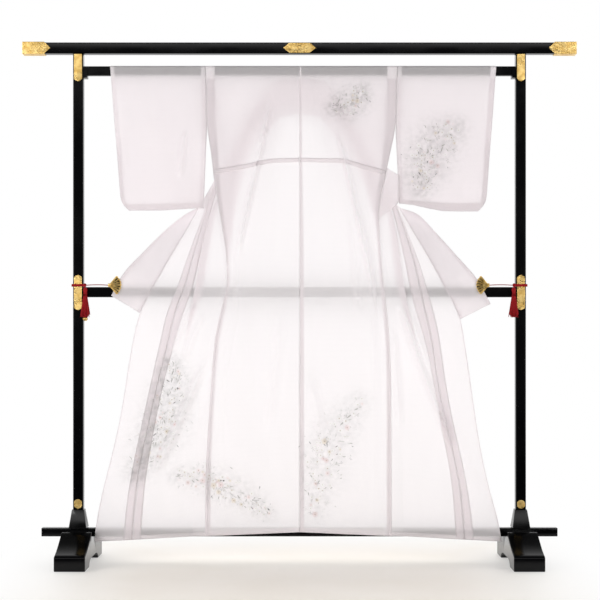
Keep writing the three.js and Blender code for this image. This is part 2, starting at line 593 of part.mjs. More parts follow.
// A level bar from one of the part's dimension sets, centred between the two sides.
function centredBar({ bottom, height, depth }, length, chamfer) {
  return levelBar(-length / 2, length / 2, 0, bottom, height, depth, chamfer);
}

const BETWEEN_POSTS = 2 * (POST_INNER - SEAM_GAP);
add('top_beam', centredBar(BEAM, BEAM.length), lacquer);
add('rod', centredBar(ROD, BETWEEN_POSTS, ROD_CHAMFER), lacquer);
add('crossbar', centredBar(CROSSBAR, BETWEEN_POSTS), lacquer);
add('bottom_rail', centredBar(RAIL, RAIL.length), lacquer);

// A plate's outline: a strip with a pointed lower end, and a pointed upper end if both is true.
function plateOutline(width, bottom, top, point, both) {
  const shape = new THREE.Shape();
  const half = width / 2;
  shape.moveTo(-half, bottom + point);
  shape.quadraticCurveTo(-half * 0.7, bottom + point * 0.25, 0, bottom);
  shape.quadraticCurveTo(half * 0.7, bottom + point * 0.25, half, bottom + point);
  if (both) {
    shape.lineTo(half, top - point);
    shape.quadraticCurveTo(half * 0.7, top - point * 0.25, 0, top);
    shape.quadraticCurveTo(-half * 0.7, top - point * 0.25, -half, top - point);
  } else {
    shape.lineTo(half, top);
    shape.lineTo(-half, top);
  }
  shape.closePath();
  return shape;
}

const PLATES = {
  left: [
    { name: 'top', bottom: 1643, top: 1736, both: false }, { name: 'middle', bottom: 863, top: 983, both: true },
    { name: 'foot', bottom: 186, top: 219, both: true },
  ],
  right: [
    { name: 'top', bottom: 1643, top: 1736, both: false }, { name: 'middle', bottom: 863, top: 983, both: true },
    { name: 'foot', bottom: 186, top: 216, both: true },
  ],
};

function postPlate(side, plate) {
  const face = -POST.depth / 2 - SEAM_GAP;
  const outline = plateOutline(PLATE.width, plate.bottom, plate.top, PLATE.point, plate.both);
  return slab(outline, face - PLATE.thickness, face, 4).translate(signOf[side] * POST.x, 0, 0);
}

// The end cap: a thin brass box over the beam's end, with a pointed inner end on its front and back.
function beamCap(side) {
  const end = BEAM.length / 2 + SEAM_GAP + CAP.wall;
  const [low, high] = [BEAM.bottom - SEAM_GAP - CAP.wall, BEAM.bottom + BEAM.height + SEAM_GAP + CAP.wall];
  const depth = BEAM.depth / 2 + SEAM_GAP + CAP.wall;
  const middle = (low + high) / 2;
  const outline = new THREE.Shape();
  outline.moveTo(end, low);
  outline.lineTo(end, high);
  outline.lineTo(end - CAP.length + CAP.point, high);
  outline.quadraticCurveTo(end - CAP.length + CAP.point * 0.3, middle + 6, end - CAP.length, middle);
  outline.quadraticCurveTo(end - CAP.length + CAP.point * 0.3, middle - 6, end - CAP.length + CAP.point, low);
  outline.closePath();
  const pocket = block(
    [end - CAP.length - 5, -depth + CAP.wall, low + CAP.wall],
    [end - CAP.wall, depth - CAP.wall, high - CAP.wall],
  );
  const cap = geometryOf(solid(slab(outline, -depth, depth, 5)).subtract(solid(pocket)));
  return side === 'right' ? cap : outward(cap.scale(-1, 1, 1));
}

function centrePlate() {
  const face = -BEAM.depth / 2 - SEAM_GAP;
  const [half, point, middle, rise] = [55, 20, BEAM.bottom + BEAM.height / 2, 17];
  const outline = new THREE.Shape();
  outline.moveTo(-half, middle);
  outline.quadraticCurveTo(-half + point * 0.3, middle + 6, -half + point, middle + rise);
  outline.lineTo(half - point, middle + rise);
  outline.quadraticCurveTo(half - point * 0.3, middle + 6, half, middle);
  outline.quadraticCurveTo(half - point * 0.3, middle - 6, half - point, middle - rise);
  outline.lineTo(-half + point, middle - rise);
  outline.quadraticCurveTo(-half + point * 0.3, middle - 6, -half, middle);
  const boss = new THREE.CylinderGeometry(8.5, 7, 2.4, 16).translate(0, face - 2, middle);
  return geometryOf(solid(slab(outline, face - PLATE.thickness, face, 5)).add(solid(boss)));
}

// A square block that narrows upwards.
function taperedBlock(bottom, { height, bottomWidth, bottomDepth, topWidth, topDepth }) {
  const [halfWidth, halfDepth] = [bottomWidth / 2, bottomDepth / 2];
  const geometry = block([-halfWidth, -halfDepth, bottom], [halfWidth, halfDepth, bottom + height]);
  const { array } = geometry.attributes.position;
  for (let k = 0; k < array.length; k += 3) {
    if (array[k + 2] > bottom + height / 2) {
      array[k] *= topWidth / bottomWidth;
      array[k + 1] *= topDepth / bottomDepth;
    }
  }
  return geometry;
}

// Side view of a foot: sloping tops, a notch for the rail and an arch between its two pads.
function footOutline() {
  const { length, toeHeight, topHeight, archHalf, archHeight } = FOOT;
  const [half, shoulder, notch] = [length / 2, 46, RAIL.depth / 2 + SEAM_GAP];
  const notchFloor = RAIL.bottom - SEAM_GAP;
  const outline = new THREE.Shape();
  outline.moveTo(-half, 0);
  outline.lineTo(-archHalf - 8, 0);
  outline.lineTo(-archHalf, archHeight * 0.45);
  outline.quadraticCurveTo(-archHalf * 0.8, archHeight, -archHalf * 0.5, archHeight);
  outline.lineTo(archHalf * 0.5, archHeight);
  outline.quadraticCurveTo(archHalf * 0.8, archHeight, archHalf, archHeight * 0.45);
  outline.lineTo(archHalf + 8, 0);
  outline.lineTo(half, 0);
  outline.lineTo(half, toeHeight - 4);
  outline.lineTo(half - 5, toeHeight);
  outline.quadraticCurveTo(half - 60, toeHeight + 12, shoulder, topHeight);
  outline.lineTo(notch, topHeight);
  outline.lineTo(notch, notchFloor);
  outline.lineTo(-notch, notchFloor);
  outline.lineTo(-notch, topHeight);
  outline.lineTo(-shoulder, topHeight);
  outline.quadraticCurveTo(-half + 60, toeHeight + 12, -half + 5, toeHeight);
  outline.lineTo(-half, toeHeight - 4);
  outline.closePath();
  return outline;
}

// A cradle on the post's inner face that the rod's end drops into.
function rodBracket(side) {
  const inner = POST_INNER - SEAM_GAP;
  const reach = ROD.depth / 2 + SEAM_GAP;
  const cradle = solid(block(
    [inner - BRACKET.width, -reach - BRACKET.wall, BRACKET.bottom],
    [inner, reach + BRACKET.wall, ROD.bottom + BRACKET.rise],
  ));
  const seat = solid(block(
    [inner - BRACKET.width - 5, -reach, ROD.bottom - SEAM_GAP],
    [inner + 5, reach, ROD.bottom + 2 * ROD.height],
  ));
  const geometry = geometryOf(cradle.subtract(seat));
  return side === 'right' ? geometry : outward(geometry.scale(-1, 1, 1));
}

// A red cord wound round the post, with a knot at the inner front corner.
const KNOT = { x: 731, y: -21, radius: 6.5 };

function postTie(side) {
  const overPlate = PLATE.thickness + SEAM_GAP;       // the cord runs over the brass plate in front
  const [halfX, halfY] = [POST.width / 2 + SEAM_GAP, (POST.depth + overPlate) / 2 + SEAM_GAP];
  const top = TIE.bottom + TIE.cord * TIE.turns;
  let ring = null;
  for (let turn = 0; turn < TIE.turns; turn += 1) {
    const low = TIE.bottom + turn * TIE.cord - (turn ? 0.4 : 0);
    const height = TIE.bottom + (turn + 1) * TIE.cord - low;
    const bulge = TIE.cord - (turn ? 0.5 : 0);
    const loop = uprightBar(
      POST.x, -overPlate / 2, low, height, 2 * (halfX + bulge), 2 * (halfY + bulge), 3,
    );
    ring = ring ? ring.add(solid(loop)) : solid(loop);
  }
  const hole = solid(block(
    [POST.x - halfX, -overPlate / 2 - halfY, TIE.bottom - 10],
    [POST.x + halfX, -overPlate / 2 + halfY, top + 10],
  ));
  const knot = solid(new THREE.SphereGeometry(KNOT.radius, 12, 8).translate(KNOT.x, KNOT.y, (TIE.bottom + top) / 2));
  const geometry = geometryOf(ring.subtract(hole).add(knot));
  return side === 'right' ? geometry : outward(geometry.scale(-1, 1, 1));
}

// A tassel: a turned head with two rings of strands rooted in it.
function tassel(side) {
  const { x, y, top, length, headRadius, skirtRadius, strands } = TASSEL;
  const profile = [
    [0, 0], [2.4, -0.4], [5.2, -3], [headRadius, -8], [headRadius, -14], [5.4, -17], [6.2, -20], [6.2, -23],
    [0, -24],
  ].map(([r, z]) => new THREE.Vector2(r, z)).reverse();
  const head = new THREE.LatheGeometry(profile, 12).rotateX(Math.PI / 2);
  let whole = solid(outward(plain(head.translate(0, 0, top))));
  const outer = Math.round(strands * 0.64);
  for (let k = 0; k < strands; k += 1) {
    const inRing = k < outer;
    const count = inRing ? outer : strands - outer;
    const angle = (2 * Math.PI * (inRing ? k : k + 0.5)) / count;
    const [rootRadius, endRadius] = inRing ? [5, skirtRadius] : [2.4, skirtRadius * 0.52];
    const drop = length - 3 * ((k * 7) % 5) / 5;
    const strand = new THREE.CylinderGeometry(0.7, 0.95, drop - 20, 3).rotateX(Math.PI / 2);
    const { array } = strand.attributes.position;
    for (let p = 0; p < array.length; p += 3) {
      const atEnd = array[p + 2] < 0;
      const radius = atEnd ? endRadius : rootRadius;
      array[p] += radius * Math.cos(angle);
      array[p + 1] += radius * Math.sin(angle);
      array[p + 2] = atEnd ? top - drop : top - 20;
    }
    whole = whole.add(solid(outward(plain(strand))));
  }
  const geometry = geometryOf(whole).translate(x, y, 0);
  return side === 'right' ? geometry : outward(geometry.scale(-1, 1, 1));
}

// A shell clip that grips the collar's end: a ribbed fan in front, a plain jaw behind, joined past the cloth.
const CLIP_AT = { left: { x: 646, z: 948 }, right: { x: 641, z: 948 } };

function shellClip(side) {
  const { x, z } = CLIP_AT[side];
  const spread = (55 * Math.PI) / 180;
  const fan = (radius, lobes) => {
    const shape = new THREE.Shape();
    shape.moveTo(4, 0);
    const steps = lobes * 4;
    for (let k = 0; k <= steps; k += 1) {
      const angle = Math.PI - spread + (2 * spread * k) / steps;
      const reach = radius - 2.2 * (1 - Math.abs(Math.sin((Math.PI * lobes * k) / steps)));
      shape.lineTo(reach * Math.cos(angle), reach * Math.sin(angle));
    }
    shape.closePath();
    return shape;
  };
  const middle = collarPoint(side, 11.4, 0.85).y;
  const gap = WALL / 2 + SEAM_GAP + 0.3;
  const front = middle - gap - 2.5;
  const rear = middle + gap;
  let clip = solid(slab(fan(CLIP.radius, CLIP.ribs), front - CLIP.thickness, front));
  clip = clip.add(solid(slab(fan(CLIP.radius * 0.75, 1), rear, rear + CLIP.jaw)));
  clip = clip.add(solid(block([-8, front - 1, -6], [6, rear + 1, 6])));
  for (let rib = 0; rib < CLIP.ribs; rib += 1) {
    const angle = Math.PI - spread + (2 * spread * (rib + 0.5)) / CLIP.ribs;
    const ridge = new THREE.CylinderGeometry(2.3, 0.9, 31, 6).rotateZ(angle - Math.PI / 2)
      .rotateX(Math.PI / 2).translate(20 * Math.cos(angle), front - CLIP.thickness, 20 * Math.sin(angle));
    clip = clip.add(solid(ridge));
  }
  const geometry = geometryOf(clip).translate(x, 0, z);
  return side === 'right' ? geometry : outward(geometry.scale(-1, 1, 1));
}

// The cord from a clip to the knot on the post: hooked round the clip's neck and tied off beside the knot.
function clipCord(side) {
  const { x, z } = CLIP_AT[side];
  const y = collarPoint(side, 11.4, 0.85).y - 1;
  const knotZ = TIE.bottom + TIE.cord;
  const [from, to] = [x + 6 + SEAM_GAP, KNOT.x - KNOT.radius - SEAM_GAP];
  const route = [
    [signOf[side] * from, y, z], [signOf[side] * mix(from, to, 0.3), y - 1, z + 1],
    [signOf[side] * mix(from, to, 0.7), y - 2, z + 1], [signOf[side] * to, KNOT.y, knotZ],
  ];
  return tube(route, CLIP_CORD.radius, 10);
}

for (const side of SIDES) {
  const x = signOf[side] * POST.x;
  add(`beam_cap_${side}`, beamCap(side), brass);
  add(`post_${side}`, uprightBar(x, 0, POST_BOTTOM, POST_TOP - POST_BOTTOM, POST.width, POST.depth), lacquer);
  for (const plate of PLATES[side]) add(`post_plate_${side}_${plate.name}`, postPlate(side, plate), brass);
  add(`post_base_${side}`, taperedBlock(BASE_BOTTOM, BASE).translate(x, 0, 0), lacquer);
  add(`foot_${side}`, barAlongX(footOutline(), x, FOOT.width), lacquer);
  add(`rod_bracket_${side}`, rodBracket(side), lacquer);
  add(`post_tie_${side}`, postTie(side), redCord);
  add(`tassel_${side}`, tassel(side), redCord);
  add(`clip_${side}`, shellClip(side), brass);
  add(`clip_cord_${side}`, clipCord(side), redCord);
}
add('centre_plate', centrePlate(), brass);

export default object;
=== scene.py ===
# %% [markdown]
# # A sheer houmongi kimono on its lacquered stand
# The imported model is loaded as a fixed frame. It already holds every piece at its real size and place, so
# each cell below either gives a piece its finish or puts a finer form where the plain one stands.

# %% Load the frame
import math

import bmesh
import bpy
import numpy as np
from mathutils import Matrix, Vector
from mathutils.bvhtree import BVHTree


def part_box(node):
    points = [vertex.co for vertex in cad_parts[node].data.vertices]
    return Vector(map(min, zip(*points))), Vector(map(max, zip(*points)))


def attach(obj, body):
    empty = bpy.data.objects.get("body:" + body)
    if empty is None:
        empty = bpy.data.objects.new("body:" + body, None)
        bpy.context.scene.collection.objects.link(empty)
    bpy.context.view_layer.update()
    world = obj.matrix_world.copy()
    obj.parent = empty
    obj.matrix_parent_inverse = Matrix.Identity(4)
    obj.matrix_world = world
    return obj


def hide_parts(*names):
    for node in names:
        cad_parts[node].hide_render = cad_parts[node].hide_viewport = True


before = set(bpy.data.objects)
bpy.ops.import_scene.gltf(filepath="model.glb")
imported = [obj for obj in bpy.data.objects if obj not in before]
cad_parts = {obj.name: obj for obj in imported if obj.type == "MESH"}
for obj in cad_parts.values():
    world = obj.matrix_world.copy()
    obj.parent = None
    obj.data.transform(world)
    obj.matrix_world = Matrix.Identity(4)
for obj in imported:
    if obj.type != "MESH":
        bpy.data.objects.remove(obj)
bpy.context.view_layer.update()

MM = 0.001
SIDES = {"left": -1, "right": 1}

# %% [markdown]
# ## Camera
# A garment this flat is best seen from far away with a long lens, so that its straight seams stay straight.
# The camera stays level and its picture is shifted upwards instead of tilted, which keeps the posts
# upright.

# %% Camera
VIEW_DISTANCE = 4.6
EYE_HEIGHT = 0.761
PICTURE_WIDTH = 2.052      # metres across the picture in the plane of the stand
SENSOR = 36.0

camera_data = bpy.data.cameras.new("camera")
camera_data.sensor_width = SENSOR
camera_data.lens = SENSOR * VIEW_DISTANCE / PICTURE_WIDTH
camera_data.shift_y = 0.0667
camera = bpy.data.objects.new("camera", camera_data)
camera.location = (0.0017, -VIEW_DISTANCE, EYE_HEIGHT)
camera.rotation_euler = (math.pi / 2, 0, 0)
bpy.context.collection.objects.link(camera)
bpy.context.scene.camera = camera
print("lens", round(camera_data.lens, 1), "mm")

# %% [markdown]
# ## Wiring nodes
# Every light, finish and node tree below is wired in the script. One helper adds a node and fills or links
# its inputs by their names. The others wrap the few nodes that are needed again and again: a sum, a soft
# step between two values, and a blend of two colours.

# %% Node helpers
def wire(tree, kind, **values):
    """Adds a node. Names with a leading underscore are its own settings, the rest are its inputs."""
    made = tree.nodes.new(kind)
    for name, value in values.items():
        if name.startswith("_"):
            setattr(made, name[1:], value)
            continue
        socket = made.inputs[int(name[2:])] if name.startswith("in") and name[2:].isdigit() else \
            made.inputs[name.replace("_", " ")]
        if isinstance(value, bpy.types.NodeSocket):
            tree.links.new(value, socket)
        else:
            socket.default_value = value
    return made


def math_node(tree, operation, a, b=0.0, c=0.0):
    return wire(tree, "ShaderNodeMath", _operation=operation, in0=a, in1=b, in2=c).outputs[0]


def ramp(tree, value, low, high, to_low=0.0, to_high=1.0):
    return wire(tree, "ShaderNodeMapRange", _interpolation_type="SMOOTHSTEP", Value=value, From_Min=low,
                From_Max=high, To_Min=to_low, To_Max=to_high).outputs[0]


def blend_colour(tree, factor, a, b, kind="MIX"):
    made = wire(tree, "ShaderNodeMix", _data_type="RGBA", _blend_type=kind)
    for socket, value in ((made.inputs[0], factor), (made.inputs[6], a), (made.inputs[7], b)):
        if isinstance(value, bpy.types.NodeSocket):
            tree.links.new(value, socket)
        else:
            socket.default_value = value
    return made.outputs[2]


print("node helpers", [helper.__name__ for helper in (wire, math_node, ramp, blend_colour)])

# %% [markdown]
# ## Light
# White silk gauze only shows when more light comes through it than falls on it. The world behind the stand
# is therefore white, and the side of the room where the viewer stands is dimmer. What the lacquer and the
# brass mirror is set apart from what lights the cloth: a dark room with one band of bright softboxes at a
# middle height. A thin wall meets a light ray twice, so the number of see-through surfaces that a ray may
# cross is raised for folded cloth.

# %% World
BACK_LIGHT, FRONT_LIGHT = 1.50, 0.12
FACING_BACK = (-0.35, 0.45)           # the world's y between which front light turns to back light
MIDDLE_OF_BACK = (0.65, 0.97)         # its light is held down straight behind the cloth
MIDDLE_SHARE = 0.42
SOFTBOX_STRENGTH = 2.7
SOFTBOX_FOOT, SOFTBOX_TOP = (0.20, 0.28), (0.36, 0.46)
ROOM_GLOW = 0.10
MIRRORED_BACK = (0.45, 0.80)
SEE_THROUGH_STEPS = 48

scene = bpy.context.scene
scene.view_settings.view_transform = "Standard"
scene.cycles.transparent_max_bounces = SEE_THROUGH_STEPS

world = bpy.data.worlds.new("white_studio")
scene.world = world
world.use_nodes = True
sky = world.node_tree
sky.nodes.clear()

direction = wire(sky, "ShaderNodeTexCoord").outputs["Generated"]
apart = wire(sky, "ShaderNodeSeparateXYZ", Vector=direction).outputs
seen_by = wire(sky, "ShaderNodeLightPath").outputs
dimmer = ramp(sky, apart["Y"], *FACING_BACK, FRONT_LIGHT, BACK_LIGHT)
spread = math_node(sky, "MULTIPLY", dimmer, ramp(sky, apart["Y"], *MIDDLE_OF_BACK, 1.0, MIDDLE_SHARE))
softbox = math_node(sky, "MULTIPLY", ramp(sky, apart["Z"], *SOFTBOX_FOOT), SOFTBOX_STRENGTH)
softbox = math_node(sky, "MULTIPLY", softbox, ramp(sky, apart["Z"], *SOFTBOX_TOP, 1.0, 0.0))
room = math_node(sky, "ADD", softbox, ROOM_GLOW)
mirrored = math_node(sky, "MAXIMUM", room, ramp(sky, apart["Y"], *MIRRORED_BACK))
strength = wire(sky, "ShaderNodeMix", in0=seen_by["Is Glossy Ray"], in2=spread, in3=mirrored).outputs[0]
strength = math_node(sky, "MAXIMUM", strength, seen_by["Is Camera Ray"])
sky_light = wire(sky, "ShaderNodeBackground", Color=(1, 1, 1, 1), Strength=strength)
wire(sky, "ShaderNodeOutputWorld", Surface=sky_light.outputs[0])
print("light behind", BACK_LIGHT, "and in front", FRONT_LIGHT)

# %% [markdown]
# ## New meshes, objects and materials
# Most pieces below are worked out as points and faces and then made a mesh in one go. The object that holds
# it stands at the origin, unturned, because the place of a piece is in its points, as it is in the frame's
# own nodes.

# %% Object helpers
def new_mesh(name, points, faces):
    mesh = bpy.data.meshes.new(name)
    mesh.from_pydata([tuple(map(float, p)) for p in points], [], [tuple(map(int, f)) for f in faces])
    mesh.update()
    return mesh


def new_object(name, mesh):
    made = bpy.data.objects.new(name, mesh)
    bpy.context.collection.objects.link(made)
    return made


def new_material(name):
    material = bpy.data.materials.new(name)
    material.use_nodes = True
    material.node_tree.nodes.clear()
    return material


print("object helpers", [helper.__name__ for helper in (new_mesh, new_object, new_material)])

# %% [markdown]
# ## Floor
# A studio floor is a roll of pale paper. It is one large sheet here: lit paper under the stand, and behind
# and beside the stand a white glow that blends into the white behind it. The glow is painted light, so the
# paper under the stand is left as a darker band of painted shade, in which the lamps also cast their own
# shadows. What the lacquer mirrors of the floor in front is kept dark, as that part of the room is.

# %% Floor
FLOOR_HALF = 9.0
PAPER_TONES = (0.955, 0.90, 0.82, 1), (0.99, 0.94, 0.875, 1)
UNLIT_TONE = (0.02, 0.02, 0.02, 1)
UNLIT_FRONT = (-0.55, -0.24)          # y between which the mirrored floor turns from dark to pale
FADE_BEHIND, FADE_BESIDE = (0.12, 0.75), (0.45, 1.05)

floor_paper = new_material("floor_paper")
tree = floor_paper.node_tree
spot = wire(tree, "ShaderNodeTexCoord").outputs["Object"]
place = wire(tree, "ShaderNodeSeparateXYZ", Vector=spot).outputs
sideways = math_node(tree, "ABSOLUTE", place["X"])
grain = wire(tree, "ShaderNodeTexNoise", Vector=spot, Scale=2.2, Detail=3.0).outputs[0]
tone = blend_colour(tree, ramp(tree, grain, 0.3, 0.7), *PAPER_TONES)
glossy = wire(tree, "ShaderNodeLightPath").outputs["Is Glossy Ray"]
unlit = math_node(tree, "MULTIPLY", ramp(tree, place["Y"], *UNLIT_FRONT, 1.0, 0.0), glossy)
tone = blend_colour(tree, unlit, tone, UNLIT_TONE)
paper = wire(tree, "ShaderNodeBsdfPrincipled", Base_Color=tone, Roughness=0.5)
lit = math_node(tree, "SUBTRACT", 1.0, unlit)
glow = wire(tree, "ShaderNodeEmission", Color=(1, 1, 1, 1), Strength=lit)
# painted light: behind and beside the stand the floor glows white, which leaves the paper under it as a band
# of painted shade
fade = math_node(tree, "MAXIMUM", ramp(tree, place["Y"], *FADE_BEHIND), ramp(tree, sideways, *FADE_BESIDE))
mixed = wire(tree, "ShaderNodeMixShader", in0=fade, in1=paper.outputs[0], in2=glow.outputs[0])
wire(tree, "ShaderNodeOutputMaterial", Surface=mixed.outputs[0])

corners = [(x * FLOOR_HALF, y * FLOOR_HALF, 0) for x, y in ((-1, -1), (1, -1), (1, 1), (-1, 1))]
floor = new_object("floor", new_mesh("floor", corners, [(0, 1, 2, 3)]))
floor.data.materials.append(floor_paper)
print("floor", 2 * FLOOR_HALF, "m wide")

# %% [markdown]
# ## Lamps
# Two broad lamps stand low, one on each side of the viewer and far enough out that the polished posts don't
# mirror either. They give the cloth the little light that falls on it from the front.

# %% Lamps
LAMPS = [
    {"name": "key", "at": (-3.4, -3.4, 1.3), "aim": (0, 0, 0.7), "size": 2.4, "watts": 118},
    {"name": "fill", "at": (3.6, -3.4, 1.2), "aim": (0, 0, 0.7), "size": 2.4, "watts": 94},
]
for lamp in LAMPS:
    data = bpy.data.lights.new(lamp["name"], "AREA")
    data.size = lamp["size"]
    data.energy = lamp["watts"]
    made = bpy.data.objects.new(lamp["name"], data)
    made.location = lamp["at"]
    made.rotation_euler = (Vector(lamp["aim"]) - Vector(lamp["at"])).to_track_quat("-Z", "Y").to_euler()
    bpy.context.collection.objects.link(made)
print(len(LAMPS), "lamps")

# %% [markdown]
# ## Reading a cloth wall from the frame
# Each panel of the kimono is in the frame as a closed wall: a regular lattice of corners, once for each
# face. Walking that lattice row by row gives back the order of the panel's folds, so a finer sheet can be
# laid exactly where the wall stands. The narrow rim is left out first: its cross edges are as long as the
# wall is thick, and no other edge in the mesh is that short.

# %% Faces of a wall
WALL = 1.2 * MM            # how thick each cloth wall in the frame is
WALL_SPREAD = 0.02 * MM
SAME_PLACE = 0.01 * MM     # points closer than this are one corner


def skins(node):
    """A wall's corners, and the triangles of each of its two broad faces."""
    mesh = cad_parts[node].data
    loose = np.empty(len(mesh.vertices) * 3)
    mesh.vertices.foreach_get("co", loose)
    loose = loose.reshape(-1, 3)
    rounded = np.round(loose / SAME_PLACE).astype(np.int64)
    _, first, number = np.unique(rounded, axis=0, return_index=True, return_inverse=True)
    number = number.reshape(-1)
    points = loose[first]
    faces = np.array([[number[k] for k in polygon.vertices] for polygon in mesh.polygons])
    corners = points[faces]
    lengths = np.linalg.norm(corners - np.roll(corners, 1, axis=1), axis=2)
    faces = faces[~(np.abs(lengths - WALL) < WALL_SPREAD).any(axis=1)]
    label = np.arange(len(points))
    while True:
        lowest = label[faces].min(axis=1)
        spread = label.copy()
        for corner in range(3):
            np.minimum.at(spread, faces[:, corner], lowest)
        if (spread == label).all():
            break
        label = spread
    groups = [faces[label[faces[:, 0]] == name] for name in np.unique(label[faces[:, 0]])]
    return points, sorted(groups, key=len)[-2:]


points, pair = skins("back_left")
print("back_left has", len(points), "corners and two faces of", len(pair[0]), "triangles")

# %% [markdown]
# A lattice has no row numbers once it is a mesh, but it has an outline. Four corners of the outline belong
# to one or two triangles only, and they part it into four sides. The walk starts with the side at the hem
# and always steps over to the next row through the triangles that stand on the last one.

# %% Walking a lattice
def edges_of(faces):
    """The triangles on each edge, and each outline corner's neighbours along the outline."""
    owners, border = {}, {}
    for number, face in enumerate(faces):
        for k in range(3):
            owners.setdefault(frozenset((face[k], face[(k + 1) % 3])), []).append(number)
    for edge, found in owners.items():
        if len(found) == 1:
            a, b = edge
            border.setdefault(a, []).append(b)
            border.setdefault(b, []).append(a)
    return owners, border


def first_row(points, faces, border, start_axis):
    """The side of a lattice that lies lowest along start_axis, from its inner end."""
    count = np.bincount(faces.reshape(-1), minlength=len(points))
    loop, here, before = [], next(iter(border)), None
    while here not in loop[:1]:
        loop.append(here)
        onward = [p for p in border[here] if p != before]
        before, here = here, onward[0]
    ends = [k for k, p in enumerate(loop) if count[p] <= 2]
    loop = loop[ends[0]:] + loop[:ends[0]]
    ends = [k - ends[0] for k in ends] + [len(loop)]
    loop.append(loop[0])
    sides = [loop[a:b + 1] for a, b in zip(ends, ends[1:])]
    row = min(sides, key=lambda side: points[side, start_axis].mean())
    return row[::-1] if abs(points[row[0], 0]) > abs(points[row[-1], 0]) else row


def walk(points, faces, start_axis):
    """The rows of a lattice, one after the other."""
    owners, border = edges_of(faces)
    rows, used = [first_row(points, faces, border, start_axis)], set()

    def across(a, b):
        """The third corner of the unused triangle on the edge a-b."""
        for number in owners.get(frozenset((a, b)), []):
            if number not in used:
                used.add(number)
                return next(p for p in faces[number] if p not in (a, b))
        return None

    while True:
        following = []
        for a, b in zip(rows[-1], rows[-1][1:]):
            third = across(a, b)
            if third is None:
                break
            if not following:
                outer = third in border.get(a, []) and len(owners[frozenset((a, third))]) == 1
                following = [third] if outer else [across(a, third)]
            following.append(across(b, third) if third == following[-1] else third)
            if third != following[-2] and len(following) > 2:
                across(a, third)
        if not following:
            return rows
        rows.append(following)


def lattice(node, start_axis=2):
    """A wall's middle surface as rows of corners, from the hem up or from its left end."""
    points, pair = skins(node)
    first, second = (walk(points, faces, start_axis) for faces in pair)
    return [(points[a] + points[b]) / 2 for a, b in zip(first, second)]


for trial in ("back_left", "front_right", "okumi_left", "sleeve_left_back", "collar"):
    rows = lattice(trial, 0 if trial == "collar" else 2)
    print(trial, len(rows), "rows of", len(rows[0]), "to", len(rows[-1]))

# %% [markdown]
# ## From a lattice to hanging silk
# A lattice corner stands every few centimetres. The sheet between them is filled in every few millimetres,
# then softened both ways, because a fold in light silk is a narrow roll and not a crease in paper. Over the
# rod the lattice is kept as it is, so that the silk still lies on the wood.

# %% Filling and softening
ACROSS, ALONG = 4.0 * MM, 8.0 * MM
ROD_LINE = 1.632           # above this the silk keeps to the rod


def ease(value, low, high):
    """0 below low, 1 above high, and a soft step between."""
    t = np.clip((value - low) / (high - low), 0, 1)
    return t * t * (3 - 2 * t)


def fill(grid, axis, size):
    """Adds samples between the corners of a grid along one axis, at most about size apart."""
    gaps = np.linalg.norm(np.diff(grid, axis=axis), axis=2).mean(axis=1 - axis)
    counts = np.maximum(1, np.ceil(gaps / size)).astype(int)
    at = np.concatenate([k + np.arange(n) / n for k, n in enumerate(counts)] + [[len(counts)]])
    low = np.minimum(at.astype(int), len(counts) - 1)
    share = (at - low)[:, None, None] if axis == 0 else (at - low)[None, :, None]
    return np.take(grid, low, axis) * (1 - share) + np.take(grid, low + 1, axis) * share


def soften(grid, axis, spread):
    """A running average along one axis that leaves the first and last line where they are."""
    reach = min(int(3 * spread) + 1, grid.shape[axis] - 1)
    weight = np.exp(-0.5 * (np.arange(-reach, reach + 1) / spread) ** 2)
    moved = np.moveaxis(grid, axis, 0)
    lead = 2 * moved[:1] - moved[reach:0:-1]
    tail = 2 * moved[-1:] - moved[-2:-reach - 2:-1]
    longer = np.concatenate([lead, moved, tail])
    total = sum(w * longer[k:k + len(moved)] for k, w in enumerate(weight)) / weight.sum()
    return np.moveaxis(total, 0, axis)


print("samples every", round(ACROSS / MM), "mm across and", round(ALONG / MM), "mm along")

# %% [markdown]
# ## Waves
# Hanging silk is never quite flat. A sum of long shallow waves with a fixed seed gives all sheets the same
# gentle swell, so that sheets that lie close together move as one and the waves push none through another.

# %% Waves
WAVES = np.random.default_rng(41).uniform(size=(9, 4))


def ripple(x, z):
    """Shallow waves of the hanging cloth, which move all layers alike."""
    total = np.zeros_like(x)
    for turn, phase, size, lean in WAVES:
        pitch = 0.05 + 0.16 * size
        along = x + (lean - 0.5) * 0.5 * z + 0.02 * np.sin(5 * z + 6 * turn)
        sideways = np.sin(2 * math.pi * (along / pitch + phase))
        upwards = np.sin(2 * math.pi * (z / (0.7 + turn) + lean))
        total += (0.25 + 0.55 * size) * sideways * upwards
    return total * MM


print(len(WAVES), "waves")
